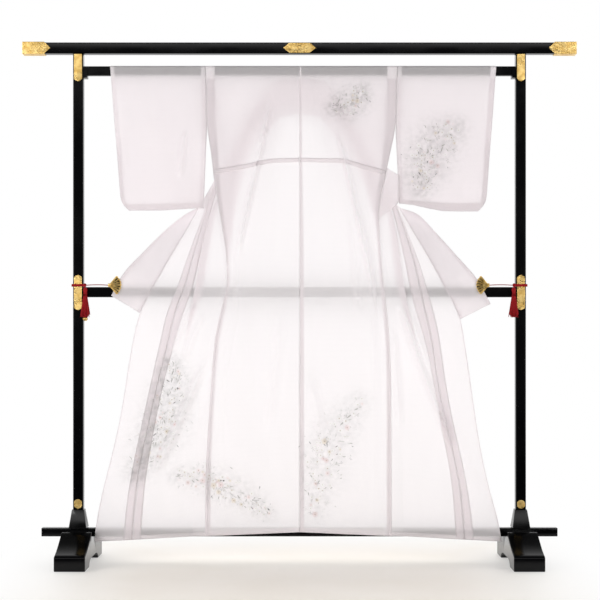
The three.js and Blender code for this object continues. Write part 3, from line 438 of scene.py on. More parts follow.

# %% [markdown]
# ## Soft folds
# The few folds that stand out are placed one by one, because each hangs from something: an armpit, a clip or
# the turn of a pleat. Each is a path on the sheet. The cloth stands out most on the path and falls away to
# both sides, and the fold comes out of the flat cloth slowly and runs out softly.

# %% Soft folds
# For each sheet: a path of (x, z) places in metres, how far it stands out and its half width, in millimetres.
FOLDS = {
    "back_left": [
        ([(-0.092, 1.600), (-0.121, 1.466), (-0.145, 1.349), (-0.186, 1.168), (-0.227, 0.956)], 14, 8),
        ([(-0.060, 0.860), (-0.085, 0.620), (-0.120, 0.410)], 9, 16)],
    "back_right": [
        ([(0.125, 1.483), (0.166, 1.329), (0.214, 1.103), (0.241, 0.983), (0.262, 0.800)], 15, 8),
        ([(0.170, 1.190), (0.192, 1.010), (0.200, 0.820)], 9, 12),
        ([(0.030, 0.650), (0.070, 0.470), (0.085, 0.330)], 9, 16)],
    "front_left": [
        ([(-0.306, 0.720), (-0.360, 0.600), (-0.420, 0.460), (-0.470, 0.360), (-0.511, 0.275)], 16, 14),
        ([(-0.357, 0.900), (-0.405, 0.800), (-0.443, 0.703)], 12, 12),
        ([(-0.323, 0.860), (-0.362, 0.770), (-0.400, 0.660)], 9, 11)],
    "front_right": [
        ([(0.335, 0.905), (0.372, 0.790), (0.430, 0.620), (0.500, 0.455), (0.555, 0.340)], 17, 12),
        ([(0.362, 0.890), (0.402, 0.770), (0.447, 0.650)], 11, 11),
        ([(0.318, 0.820), (0.330, 0.620), (0.345, 0.420)], 11, 14)],
    "sleeve_left_back": [([(-0.385, 1.480), (-0.398, 1.400), (-0.409, 1.300)], 8, 10)],
    "sleeve_right_back": [([(0.480, 1.345), (0.435, 1.290), (0.402, 1.240)], 8, 8)],
}
FOLD_STARTS, FOLD_ENDS = 0.2, 0.75    # shares of its path: up to where it rises, and from where it falls
PATH_STEPS, PATH_ROLL = 60, 4.0


def hand_folds(node, grid):
    """How far each point of a sheet is pulled out by its listed folds."""
    total = np.zeros(grid.shape[:2])
    share = np.linspace(0, 1, PATH_STEPS)
    fade = ease(share, 0, FOLD_STARTS) * ease(share, 1, FOLD_ENDS)
    for places, depth, width in FOLDS.get(node, []):
        given = np.linspace(0, 1, len(places))
        line = np.stack([np.interp(share, given, np.array(places)[:, k]) for k in (0, 1)], -1)
        line = soften(line[:, None, :], 0, PATH_ROLL)[:, 0]
        gap = np.linalg.norm(grid[:, :, None, [0, 2]] - line, axis=3)
        away = gap.min(axis=2) / (width * MM)
        total = np.maximum(total, depth * MM * np.exp(-away ** 2) * fade[gap.argmin(axis=2)])
    return total


print(sum(len(folds) for folds in FOLDS.values()), "soft folds on", len(FOLDS), "sheets")

# %% [markdown]
# ## Draping a sheet
# The finished sheet is the filled lattice, softened where it hangs free and kept as it is on the rod, with
# the waves and folds added. Its normals say which way each point faces, and its lengths along the cloth
# serve as weave coordinates, so the gauze lines run along the cloth and not along the world.

# %% Drape
FOLD_ROLL = 1.6            # how far softening reaches across a sheet, in samples
ROD_FADE = 0.03            # how far above and below the rod line the change is spread
WAVES_FADE = (1.64, 1.45)  # the heights between which the waves die out towards the rod


def drape(rows, along=ALONG, run_roll=3.0, ripples=1.0, node=""):
    """The finished middle surface of a sheet, as a fine grid."""
    sharp = fill(fill(np.array(rows), 1, ACROSS), 0, along)
    soft = soften(soften(sharp, 1, FOLD_ROLL), 0, run_roll)
    hanging = ease(sharp[..., 2:3], ROD_LINE + ROD_FADE, ROD_LINE - ROD_FADE)
    grid = sharp + (soft - sharp) * hanging
    grid[..., 1] += ripples * ripple(grid[..., 0], grid[..., 2]) * ease(grid[..., 2], *WAVES_FADE)
    grid[..., 1] -= hand_folds(node, grid)
    return grid


def normals_of(grid):
    up, right = np.gradient(grid, axis=0), np.gradient(grid, axis=1)
    normal = np.cross(right, up)
    return normal / np.maximum(np.linalg.norm(normal, axis=2, keepdims=True), 1e-12)


def flat_lengths(grid):
    """How far along the cloth each column and each row lies, in metres."""
    steps = [np.linalg.norm(np.diff(grid, axis=axis), axis=2).mean(axis=1 - axis) for axis in (1, 0)]
    return [np.concatenate([[0], np.cumsum(step)]) for step in steps]


def cells(grid):
    """The four point numbers of every small cell of a grid."""
    number = np.arange(grid.shape[0] * grid.shape[1]).reshape(grid.shape[:2])
    return np.stack([number[:-1, :-1], number[:-1, 1:], number[1:, 1:], number[1:, :-1]], -1).reshape(-1, 4)


def ray_tree(grid):
    """A grid made ready to be hit by rays."""
    return BVHTree.FromPolygons([Vector(p) for p in grid.reshape(-1, 3)], cells(grid).tolist())


trial = drape(lattice("sleeve_left_back"))
print("a sleeve half has", trial.shape[0], "by", trial.shape[1], "points")

# %% [markdown]
# ## Cloth as closed shells
# A sheet with no thickness has no inside, and light would treat both of its sides alike. So each layer is a
# closed shell: the grid moved out to both sides by half the silk's thickness, and joined round the rim. The
# rim's faces carry a number that makes the silk's finish leave them out, or every layer would be drawn with
# a dark outline.

# %% Cloth shells
SILK = 0.4 * MM            # thickness of the woven cloth


class Cloth:
    """Collects closed shells, their weave coordinates and their dye, and makes one mesh of them."""

    def __init__(self):
        self.points, self.faces, self.weave, self.rims, self.count = [], [], [], [], 0

    def add(self, grid, u=None, v=None, shift=0.0, rim_gap=1.0):
        rows, cols = grid.shape[:2]
        normal = normals_of(grid)
        own_u, own_v = flat_lengths(grid)
        u, v = own_u if u is None else u, own_v if v is None else v
        front = grid + normal * (shift + SILK / 2)
        rear = grid + normal * (shift - SILK / 2)
        number = np.arange(rows * cols).reshape(rows, cols)
        rim = np.concatenate([number[0, :], number[1:, -1], number[-1, -2::-1], number[-2:0:-1, 0]])
        side = np.stack([np.roll(rim, -1), rim, rim + rows * cols, np.roll(rim, -1) + rows * cols], -1)
        quads = cells(grid)
        faces = np.concatenate([quads, quads[:, ::-1] + rows * cols, side])
        weave = np.stack(np.broadcast_arrays(u[None, :], v[:, None]), -1).reshape(-1, 2)
        self.points.append(np.concatenate([front.reshape(-1, 3), rear.reshape(-1, 3)]))
        self.faces.append(faces + self.count)
        self.rims += [0.0] * (2 * len(quads)) + [rim_gap] * len(side)
        self.weave.append(np.concatenate([weave, weave]))
        self.count += 2 * rows * cols
        return self

    def finish(self, name, node):
        points, faces = np.concatenate(self.points), np.concatenate(self.faces)
        mesh = new_mesh(name, points, faces)
        mist = mesh.attributes.new("mist", "FLOAT", "POINT")
        mist.data.foreach_set("value", mist_at(node, points).astype(np.float32))
        layer = mesh.uv_layers.new(name="cloth")
        order = np.empty(len(mesh.loops), dtype=np.int64)
        mesh.loops.foreach_get("vertex_index", order)
        layer.data.foreach_set("uv", np.concatenate(self.weave)[order].astype(np.float32).reshape(-1))
        rims = np.array(self.rims, dtype=np.float32)
        mesh.attributes.new("rim", "FLOAT", "FACE").data.foreach_set("value", rims)
        mesh.polygons.foreach_set("use_smooth", [rim == 0.0 for rim in self.rims])
        return new_object(name, mesh)


print("silk", round(SILK / MM, 1), "mm thick")

# %% [markdown]
# ## Where the flowers grow
# On a visiting kimono the flowers are painted after the pieces are sewn together once, so a bough may cross
# a seam. The boughs are this garment's own: a few arcs, each with a width that swells in its middle. The
# dyer first lays a soft grey mist along each arc. How strong it is at each point is kept as a number on the
# mesh, which the silk's material reads, so the mist lies in the cloth and not on it.

# %% Boughs
# The sheets that an arc crosses, its ends (x, z), how far it bows, its half width, its flowers and its mist.
BOUGHS = [
    {"on": ["sleeve_right_back"], "from": (0.410, 1.265), "to": (0.540, 1.490),
     "bow": 0.034, "half": 0.074, "flowers": 150, "mist": 0.42},
    {"on": ["back_right"], "from": (0.105, 1.555), "to": (0.225, 1.620),
     "bow": -0.020, "half": 0.050, "flowers": 70, "mist": 0.46},
    {"on": ["okumi_left", "front_left"], "from": (-0.570, 0.300), "to": (-0.430, 0.690),
     "bow": -0.040, "half": 0.074, "flowers": 230, "mist": 0.40},
    {"on": ["front_left", "back_left"], "from": (-0.440, 0.300), "to": (-0.095, 0.165),
     "bow": 0.034, "half": 0.054, "flowers": 140, "mist": 0.26},
    {"on": ["back_right"], "from": (0.060, 0.165), "to": (0.215, 0.560),
     "bow": 0.050, "half": 0.070, "flowers": 140, "mist": 0.25},
]


def bough_point(bough, t):
    """The middle of a bough at t, from 0 to 1, and its direction as an angle from +x towards +z."""
    (x0, z0), (x1, z1) = bough["from"], bough["to"]
    length = math.hypot(x1 - x0, z1 - z0)
    along, lift = ((x1 - x0) / length, (z1 - z0) / length), 4 * t * (1 - t) * bough["bow"]
    x = x0 + (x1 - x0) * t - along[1] * lift
    z = z0 + (z1 - z0) * t + along[0] * lift
    return x, z, math.atan2(z1 - z0, x1 - x0) + math.atan(4 * (1 - 2 * t) * bough["bow"] / length)


MIST_PUFFS = 15            # the mist of a bough is this many round puffs in a row


def mist_at(node, points):
    """How strongly each point of a sheet is dyed, from 0 to 1."""
    x, z = points[:, 0], points[:, 2]
    total = np.zeros(len(points))
    cloud = 0.5 + 0.5 * np.sin(61 * x + 9 * np.sin(37 * z)) * np.sin(53 * z + 7 * np.sin(29 * x))
    for bough in BOUGHS:
        if node not in bough["on"]:
            continue
        for t in np.linspace(0.04, 0.96, MIST_PUFFS):
            cx, cz, _ = bough_point(bough, t)
            reach = bough["half"] * (0.6 + 0.7 * math.sin(math.pi * t))
            near = np.exp(-1.3 * (((x - cx) ** 2 + (z - cz) ** 2) / reach ** 2) ** 1.3)
            total = np.maximum(total, bough["mist"] * near * (0.35 + 0.65 * cloud))
    return total


print(len(BOUGHS), "boughs with", sum(bough["flowers"] for bough in BOUGHS), "flowers and leaves")

# %% [markdown]
# ## Silk gauze
# Sheer silk is drawn as a share of plain cloth and a share of nothing at all. The share of nothing falls
# where the sheet is seen edge-on, since the look then passes more thread, which is what makes folds show as
# fine lines. A shell has two faces but is one cloth, so the face that points away from the viewer is left
# out.

# %% Silk material
RO_PITCH = 2.9 * MM        # distance between the open lines of the weave
MIST_GREY = (0.42, 0.415, 0.41, 1)
THREAD = (0.925, 0.886, 0.899, 1)
OPEN_SHARE = 0.19          # how much of the cloth is open, seen square on
LINE_DEPTH = 0.24          # how much more open the open lines are than the cloth between them
EDGE_ON = 0.14             # the least share of facing that is reckoned with


def both_sides(tree, colour):
    """Thin stuff that throws half of its light back and lets the other half through."""
    front = wire(tree, "ShaderNodeBsdfDiffuse", Color=colour)
    through = wire(tree, "ShaderNodeBsdfTranslucent", Color=colour)
    return wire(tree, "ShaderNodeMixShader", in0=0.5, in1=front.outputs[0], in2=through.outputs[0])


def silk_material(name, thread, open_share):
    material = new_material(name)
    tree = material.node_tree
    dyed = wire(tree, "ShaderNodeAttribute", _attribute_name="mist").outputs["Fac"]
    spot = wire(tree, "ShaderNodeTexCoord").outputs["Object"]
    mottle = wire(tree, "ShaderNodeTexNoise", Vector=spot, Scale=70.0, Detail=2.0).outputs[0]
    dyed = math_node(tree, "MULTIPLY", dyed, ramp(tree, mottle, 0.35, 0.65, 0.60, 1.35))
    thread = blend_colour(tree, dyed, thread, MIST_GREY)
    weave = wire(tree, "ShaderNodeUVMap", _uv_map="cloth").outputs[0]
    up_the_cloth = wire(tree, "ShaderNodeSeparateXYZ", Vector=weave).outputs["Y"]
    wave = math_node(tree, "SINE", math_node(tree, "MULTIPLY", up_the_cloth, 2 * math.pi / RO_PITCH))
    lines = ramp(tree, wave, 0.1, 0.9)
    facing = wire(tree, "ShaderNodeLayerWeight", Blend=0.5).outputs["Facing"]
    square_on = math_node(tree, "MAXIMUM", math_node(tree, "SUBTRACT", 1.0, facing), EDGE_ON)
    straight = math_node(tree, "MULTIPLY_ADD", lines, LINE_DEPTH, open_share - LINE_DEPTH / 2)
    through = math_node(tree, "POWER", straight, math_node(tree, "DIVIDE", 1.0, square_on))
    woven = both_sides(tree, thread)
    nothing = wire(tree, "ShaderNodeBsdfTransparent")
    sheer = wire(tree, "ShaderNodeMixShader", in0=through, in1=woven.outputs[0], in2=nothing.outputs[0])
    away = wire(tree, "ShaderNodeNewGeometry").outputs["Backfacing"]
    rim = wire(tree, "ShaderNodeAttribute", _attribute_name="rim").outputs["Fac"]
    unseen = math_node(tree, "MAXIMUM", away, rim)
    one = wire(tree, "ShaderNodeMixShader", in0=unseen, in1=sheer.outputs[0], in2=nothing.outputs[0])
    wire(tree, "ShaderNodeOutputMaterial", Surface=one.outputs[0])
    return material


ro_silk = silk_material("ro_silk", THREAD, OPEN_SHARE)
print("gauze lines", round(RO_PITCH / MM, 1), "mm apart")

# %% [markdown]
# ## The kimono's panels
# A kimono is straight loom widths sewn side by side. Nothing is cut away at a seam: the spare width is
# pressed flat on the inside, and sheer silk shows it as a darker stripe. So each panel gets its spare width
# as bands of real cloth, laid on its inner side along the seams, the hem and the cuffs. The collar is
# folded lengthwise, and is two layers all along.

# %% Bands along the seams
LAYER_GAP = 0.9 * MM
BAND_STEP = 5 * MM


def along_width(grid, start, width):
    """Part of a grid between two distances from its first column, with its own even columns."""
    run, _ = flat_lengths(grid)
    at = np.linspace(start, start + width, max(3, int(width / BAND_STEP) + 1))
    index = np.interp(at, run, np.arange(len(run)))
    low = np.minimum(index.astype(int), grid.shape[1] - 2)
    share = (index - low)[None, :, None]
    return grid[:, low] * (1 - share) + grid[:, low + 1] * share, at


def band(grid, edge, width):
    """A strip along one edge of a grid: first and last are its side edges, hem is its lower one."""
    if edge == "hem":
        strip, across = along_width(np.swapaxes(grid, 0, 1), 0, width)
        return np.swapaxes(strip, 0, 1), None, across
    run, rise = flat_lengths(grid)
    strip, across = along_width(grid, 0 if edge == "first" else run[-1] - width, width)
    return strip, across, rise


print("layers", round(LAYER_GAP / MM, 1), "mm apart")

# %% [markdown]
# The tuck at the waist follows no edge. Such a strip is given as a path seen from the front. A ray is cast
# from the front at each of its places, and where it meets the sheet is where the strip lies, so it follows
# every fold.

# %% Strips on a sheet
STRIP_COLUMNS, STRIP_STEP, STRIP_ROLL = 4, 6 * MM, 3.0
IN_FRONT, AWAY = -2, Vector((0, 1, 0))      # where rays start, as a y, and which way they go


def strip_on(grid, path, width):
    """A narrow strip of cloth that follows a path of (x, z) places on a sheet, seen from the front."""
    tree = ray_tree(grid)
    path = np.array(path)
    run = np.concatenate([[0], np.cumsum(np.linalg.norm(np.diff(path, axis=0), axis=1))])
    at = np.linspace(0, run[-1], max(3, int(run[-1] / STRIP_STEP)))
    middle = np.stack([np.interp(at, run, path[:, k]) for k in (0, 1)], -1)
    middle = soften(middle[:, None, :], 0, STRIP_ROLL)[:, 0]
    heading = np.gradient(middle, axis=0)
    heading /= np.linalg.norm(heading, axis=1, keepdims=True)
    strip = []
    for place, (dx, dz) in zip(middle, heading):
        row = []
        for share in np.linspace(-0.5, 0.5, STRIP_COLUMNS):
            x, z = place[0] - dz * width * share, place[1] + dx * width * share
            hit = tree.ray_cast(Vector((x, IN_FRONT, z)), AWAY)[0]
            if hit is None:
                break
            row.append((x, hit.y, z))
        if len(row) == STRIP_COLUMNS:
            strip.append(row)
    return np.array(strip)


print("strips have a row every", round(STRIP_STEP / MM), "mm")

# %% [markdown]
# ## Seam allowances
# The widths below are in metres: which edge, how wide, how many layers. The right sleeve's back is turned
# in further than the others. Where the layers lie on the rod the weight of the cloth presses them together,
# so there they stand closer behind the sheet and none of them sinks into the wood.

# %% Seam allowances
BANDS = {
    "back": [("last", 0.013, 2), ("hem", 0.015, 1)],
    "back_right": [("last", 0.013, 2), ("hem", 0.015, 1), ("first", 0.012, 2)],
    "front": [("first", 0.013, 2), ("last", 0.020, 2), ("hem", 0.015, 1)],
    "okumi": [("first", 0.021, 2), ("last", 0.003, 1), ("hem", 0.015, 1)],
    "sleeve": [("first", 0.014, 1), ("last", 0.014, 1), ("hem", 0.024, 1)],
    "sleeve_right_back": [("first", 0.014, 1), ("last", 0.018, 2), ("hem", 0.027, 2)],
}
OVER_ROD = 0.78            # share of the gap between layers that is pressed out where they lie on the rod


def inner_side(node, grid):
    """1 or -1: which way along a grid's normals the inside of the garment lies."""
    inward = -1 if "front" in node or "okumi" in node else 1
    facing = np.sign(normals_of(grid)[: grid.shape[0] // 2, :3, 1].mean())
    return inward * facing


def add_bands(cloth, node, grid):
    """Lays a panel's spare widths behind it, layer by layer."""
    inner = inner_side(node, grid)
    for edge, width, layers in BANDS.get(node, BANDS[node.split("_")[0]]):
        for layer in range(layers):
            strip, u, v = band(grid, edge, width)
            pressed = 1 - OVER_ROD * ease(strip[..., 2:3], ROD_LINE, ROD_LINE + ROD_FADE)
            cloth.add(strip, u, v, shift=inner * (layer + 1) * LAYER_GAP * pressed)


print({panel: sum(layers for _, _, layers in bands) for panel, bands in BANDS.items()}, "layers")

# %% [markdown]
# ## Sewing the panels
# Each panel is draped, gets its bands, and stands for its wall in the frame. Beside the neck opening the
# back is narrower, so its last few rows are shorter and are added as a sheet of their own. Under the right
# arm the seam is open, and the loose cloth there is a small extra sheet from the front's edge up to the
# sleeve. Along a sewn edge the layers of two panels share one line, and some of their faces cross there.

# %% Panels
OUTER_RIM = 0.4            # share of the okumi's rim that is left out, so a faint outline stays
UNDERARM = {"low": 1.165, "narrow": 1.235, "full": 1.318, "high": 1.350, "sleeve_edge": 0.338}
UNDERARM_COLUMNS, UNDERARM_LEAN = 9, np.array([1.0, 0.12, 0.0])
grids, pieces = {}, {}


def lay(node, cloth, grid):
    piece = cloth.finish(f"silk_{node}", node)
    piece.data.materials.append(ro_silk)
    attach(piece, "root")
    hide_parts(node)
    grids[node], pieces[node] = grid, piece


def underarm(grid):
    """The loose cloth beside the open seam under the right arm, which fills the gap up to the sleeve."""
    edge = grid[(grid[:, 0, 2] > UNDERARM["low"]) & (grid[:, 0, 2] < UNDERARM["high"]), 0]
    reach = (UNDERARM["sleeve_edge"] - edge[:, 0]) * ease(edge[:, 2], UNDERARM["high"], UNDERARM["full"])
    reach *= ease(edge[:, 2], UNDERARM["low"], UNDERARM["narrow"])
    share = np.linspace(0, 1, UNDERARM_COLUMNS)[None, :, None]
    return edge[:, None, :] + share * np.maximum(reach, 1 * MM)[:, None, None] * UNDERARM_LEAN


PANELS = [panel.format(side) for side in SIDES
          for panel in ("back_{}", "front_{}", "okumi_{}", "sleeve_{}_back", "sleeve_{}_front")]
for node in PANELS:
    rows = lattice(node)
    full = [row for row in rows if len(row) == len(rows[0])]
    rest = [row for row in rows if len(row) < len(rows[0])]
    grid = drape(full, node=node)
    cloth = Cloth().add(grid, rim_gap=OUTER_RIM if "okumi" in node else 1.0)
    if rest:
        joint = full[-1][:len(rest[0])]
        cloth.add(fill(fill(np.array([joint] + rest), 1, ACROSS), 0, ALONG))
    add_bands(cloth, node, grid)
    if node == "front_right":
        cloth.add(underarm(grid)).add(underarm(grid), shift=LAYER_GAP)
    lay(node, cloth, grid)
print(len(PANELS), "panels")

# %% [markdown]
# ## Collar and waist tuck
# The collar is one strip folded lengthwise, so it is two layers all along, with a narrow band at each edge
# where it is sewn. The tuck takes up a little length at the waist. It is two more layers in front of the
# back, on a line that droops to both sides.

# %% Collar and tuck
COLLAR_ALONG, COLLAR_ROLL, COLLAR_HALF_GAP, COLLAR_SEAM = 6 * MM, 2.5, 0.6 * MM, 0.010
TUCK_LINES = {
    "left": [(-0.315, 1.329), (-0.150, 1.357), (-0.098, 1.371), (-0.0015, 1.373)],
    "right": [(0.0015, 1.373), (0.036, 1.373), (0.152, 1.370), (0.221, 1.349), (0.290, 1.330)],
}
TUCK_WIDTH = 15 * MM
TUCK_LAYERS = (2, 3)       # how many gaps each of its layers stands in front of the back

grid = drape(lattice("collar", 0), along=COLLAR_ALONG, run_roll=COLLAR_ROLL, ripples=0.0)
collar = Cloth().add(grid, shift=-COLLAR_HALF_GAP).add(grid, shift=COLLAR_HALF_GAP)
for edge in ("first", "last"):
    strip, u, v = band(grid, edge, COLLAR_SEAM)
    collar.add(strip, u, v)
lay("collar", collar, grid)
for side, line in TUCK_LINES.items():
    tuck = Cloth()
    for layer in TUCK_LAYERS:
        strip = strip_on(grids[f"back_{side}"], line, TUCK_WIDTH)
        strip[..., 1] -= layer * LAYER_GAP
        tuck.add(strip)
    lay(f"waist_tuck_{side}", tuck, strip)
for node, piece in pieces.items():
    half = sum(face.area for face in piece.data.polygons) / 2
    run, rise = flat_lengths(grids[node])
    print(node, round(half, 3), "m2,", round(run[-1], 3), "by", round(rise[-1], 3), "m")
print(len(pieces), "sheets,", sum(len(piece.data.polygons) for piece in pieces.values()) * 2, "triangles")

# %% [markdown]
# ## Flower shapes
# The painter's flowers are small and come in a few kinds: an open blossom, a round many-petalled flower, a
# bud, a leaf and a bent twig. Each kind is drawn once here, as a closed flat shape with few faces, because
# it is repeated some hundred times. The heart of a flower is marked on its points, so the dye can be darker
# there.

# %% Flower shapes
DYE_THICK = 0.03           # as a share of the flower's radius


def petal(angle, reach, width, start=0.1, corners=7):
    """A petal's outline around the flower's centre, for a flower of radius 1."""
    outline = []
    for k in range(corners):
        turn = 2 * math.pi * k / corners
        out = start + (reach - start) * (0.5 - 0.5 * math.cos(turn))
        aside = width * math.sin(turn) * (0.55 + 0.45 * (0.5 - 0.5 * math.cos(turn)))
        outline.append((out * math.cos(angle) - aside * math.sin(angle),
                        out * math.sin(angle) + aside * math.cos(angle)))
    return outline


def twig(reach, bend, width, steps=5):
    """The outline of a thin bent twig that starts at the centre."""
    middle = [(reach * k / steps, bend * (k / steps) ** 2) for k in range(steps + 1)]
    return [(x, y - width) for x, y in middle] + [(x, y + width) for x, y in reversed(middle)]


def flower_kind(name, outlines, heart=0.0):
    """One flat shape made of closed outlines, with a small round heart where heart is its radius."""
    if heart:
        turns = [k * math.pi / 3 for k in range(6)]
        outlines = outlines + [[(heart * math.cos(turn), heart * math.sin(turn)) for turn in turns]]
    points, faces, hearts = [], [], []
    for number, outline in enumerate(outlines):
        count, base = len(outline), len(points)
        is_heart = bool(heart) and number == len(outlines) - 1
        low = DYE_THICK * 2.2 if is_heart else DYE_THICK * (number % 2)
        points += [(x, y, low) for x, y in outline] + [(x, y, low + DYE_THICK) for x, y in outline]
        faces += [[base + k for k in range(count)][::-1], [base + count + k for k in range(count)]]
        for k in range(count):
            onward = (k + 1) % count
            faces.append([base + k, base + onward, base + count + onward, base + count + k])
        hearts += [float(is_heart)] * (2 * count)
    mesh = new_mesh(name, points, faces)
    mesh.attributes.new("heart", "FLOAT", "POINT").data.foreach_set("value", hearts)
    return bpy.data.objects.new(name, mesh)


KINDS = [
    flower_kind("a_blossom", [petal(2 * math.pi * k / 5, 1.0, 0.52) for k in range(5)], 0.2),
    flower_kind("b_round", [petal(2 * math.pi * k / 8, 1.0, 0.27, corners=5) for k in range(8)], 0.26),
    flower_kind("c_leaf", [petal(0.0, 1.3, 0.30, -0.9)]),
    flower_kind("d_bud", [petal(0.25, 0.8, 0.34, -0.2), petal(-0.45, 0.7, 0.24, -0.3)]),
    flower_kind("e_twig", [
        twig(2.6, 0.7, 0.07), petal(0.9, 1.5, 0.16, 0.6, 5), petal(-0.2, 2.1, 0.15, 1.2, 5)]),
]
print([(kind.name, len(kind.data.polygons)) for kind in KINDS])

# %% [markdown]
# ## Planting by Geometry Nodes
# Placing hundreds of flowers by hand would be slow and hard to change. Here each flower is one point on the
# silk. A node tree puts the right kind on every point, lays it flat on the cloth, turns it, scales it,
# makes it real and gives it its dye. The same few helpers serve every tree in this file.

# %% Tree helpers
def new_tree(name, inputs):
    """A geometry tree with a geometry input, the named inputs given, and a geometry output."""
    tree = bpy.data.node_groups.new(name, "GeometryNodeTree")
    tree.interface.new_socket("Geometry", in_out="INPUT", socket_type="NodeSocketGeometry")
    for label, kind in inputs:
        tree.interface.new_socket(label, in_out="INPUT", socket_type=kind)
    tree.interface.new_socket("Geometry", in_out="OUTPUT", socket_type="NodeSocketGeometry")
    return tree, tree.nodes.new("NodeGroupInput").outputs


def attribute(tree, name, kind):
    made = wire(tree, "GeometryNodeInputNamedAttribute", _data_type=kind, Name=name)
    return next(socket for socket in made.outputs if socket.enabled)


def close_tree(tree, geometry, material):
    """Ends a tree with real geometry and its material."""
    real = wire(tree, "GeometryNodeRealizeInstances", Geometry=geometry).outputs[0]
    dressed = wire(tree, "GeometryNodeSetMaterial", Geometry=real, Material=material).outputs[0]
    wire(tree, "NodeGroupOutput", Geometry=dressed)


def grow(name, start, tree, values):
    """Runs a tree on a mesh and returns a plain object with the finished mesh."""
    seed = new_object(f"{name}_start", start)
    modifier = seed.modifiers.new("nodes", "NODES")
    modifier.node_group = tree
    for item in tree.interface.items_tree:
        if item.item_type == "SOCKET" and item.in_out == "INPUT" and item.name in values:
            modifier[item.identifier] = values[item.name]
    ready = seed.evaluated_get(bpy.context.evaluated_depsgraph_get())
    mesh = bpy.data.meshes.new_from_object(ready)
    mesh.name = name
    bpy.data.objects.remove(seed)
    return new_object(name, mesh)


print("tree helpers", [helper.__name__ for helper in (new_tree, attribute, close_tree, grow)])

# %% [markdown]
# The tree itself is short. Each point brings its kind, its facing, its turn and its size as attributes, so
# that the tree decides nothing on its own, and the whole garden is the same at every run.

# %% Flower tree
flower_tree, given = new_tree("flowers_on_silk", [
    ("Prototypes", "NodeSocketCollection"), ("Size", "NodeSocketFloat"), ("Material", "NodeSocketMaterial")])
choices = wire(flower_tree, "GeometryNodeCollectionInfo", Collection=given["Prototypes"],
               Separate_Children=True, Reset_Children=True).outputs[0]
flat = wire(flower_tree, "FunctionNodeAlignRotationToVector", _axis="Z",
            Vector=attribute(flower_tree, "facing", "FLOAT_VECTOR")).outputs[0]
spin = wire(flower_tree, "FunctionNodeAxisAngleToRotation", Axis=(0, 0, 1),
            Angle=attribute(flower_tree, "turn", "FLOAT")).outputs[0]
turned = wire(flower_tree, "FunctionNodeRotateRotation", _rotation_space="LOCAL", Rotation=flat,
              Rotate_By=spin)
scale = math_node(flower_tree, "MULTIPLY", attribute(flower_tree, "size", "FLOAT"), given["Size"])
placed = wire(flower_tree, "GeometryNodeInstanceOnPoints", Points=given["Geometry"], Instance=choices,
              Pick_Instance=True, Instance_Index=attribute(flower_tree, "kind", "INT"),
              Rotation=turned.outputs[0], Scale=scale).outputs[0]
close_tree(flower_tree, placed, given["Material"])

print(len(flower_tree.nodes), "nodes in the flower tree")

# %% [markdown]
# ## Flower dye
# The dye is thin and lets light through as the silk does, so it has the same two sides: one that scatters
# back and one that lets light pass. Its colour is picked from a short row of shades by the number on each
# flower.

# %% Flower dye
SHADES = [(0.00, (0.99, 0.985, 0.98, 1)), (0.30, (0.97, 0.895, 0.895, 1)), (0.45, (0.945, 0.905, 0.84, 1)),
          (0.60, (0.72, 0.72, 0.70, 1)), (0.75, (0.52, 0.52, 0.49, 1)), (0.90, (0.17, 0.165, 0.17, 1))]
HEART_TONE, HEART_SHARE = (0.52, 0.42, 0.30, 1), 0.75
DYE_OPEN = 0.22            # how much of the silk still shows through the dye

flower_dye = new_material("flower_dye")
tree = flower_dye.node_tree
tint = wire(tree, "ShaderNodeAttribute", _attribute_name="tint").outputs["Fac"]
shades = wire(tree, "ShaderNodeValToRGB", Fac=tint)
shades.color_ramp.interpolation = "CONSTANT"
shades.color_ramp.elements[1].position = SHADES[-1][0]
shades.color_ramp.elements[0].color, shades.color_ramp.elements[1].color = SHADES[0][1], SHADES[-1][1]
for position, colour in SHADES[1:-1]:
    shades.color_ramp.elements.new(position).color = colour
heart = wire(tree, "ShaderNodeAttribute", _attribute_name="heart").outputs["Fac"]
dye = blend_colour(tree, math_node(tree, "MULTIPLY", heart, HEART_SHARE), shades.outputs[0], HEART_TONE)
painted = both_sides(tree, dye)
away = wire(tree, "ShaderNodeNewGeometry").outputs["Backfacing"]
unseen = math_node(tree, "MAXIMUM", away, DYE_OPEN)
nothing = wire(tree, "ShaderNodeBsdfTransparent")
soft = wire(tree, "ShaderNodeMixShader", in0=unseen, in1=painted.outputs[0], in2=nothing.outputs[0])
wire(tree, "ShaderNodeOutputMaterial", Surface=soft.outputs[0])
print(len(SHADES), "shades")

# %% [markdown]
# ## Scattering along the boughs
# Flowers crowd in the middle of a bough and thin out to its sides, where leaves and twigs point along it.
# Each point stores what the tree needs: its kind, its turn, its size, its shade, and which way the silk
# faces there. The random numbers have a fixed seed, so every run plants the same flowers.

# %% Scatter
KIND_SIZE = (7.6 * MM, 6.8 * MM, 5.2 * MM, 5.0 * MM, 6.5 * MM)
KIND_SHARE = (0.38, 0.14, 0.26, 0.10, 0.12)
KIND_TINTS = (             # for each kind, places on the row of shades, and how often each is taken
    ((0.1, 0.35, 0.5), (0.78, 0.15, 0.07)),
    ((0.1, 0.35, 0.5), (0.64, 0.24, 0.12)),
    ((0.65, 0.8, 0.95), (0.48, 0.40, 0.12)),
    ((0.35, 0.65, 0.95), (0.40, 0.48, 0.12)),
    ((0.65, 0.8, 0.95), (0.5, 0.4, 0.1)),
)
MIDDLE_HEAVY = 1.5         # 1 spreads flowers evenly along a bough, more crowds them in its middle
SPREAD_ACROSS = 0.5
NO_BLOSSOM_FROM = 0.75     # how far out only buds, leaves and twigs grow
SIZE_RANGE = (0.65, 1.45)
BLOSSOM_ROOM, LEAF_ROOM = 0.62, 0.34
LEAF_FAN, LEAF_STRAY = 1.6, 0.5       # how leaves turn away from the bough, and by chance
MOST_TRIES = 40000


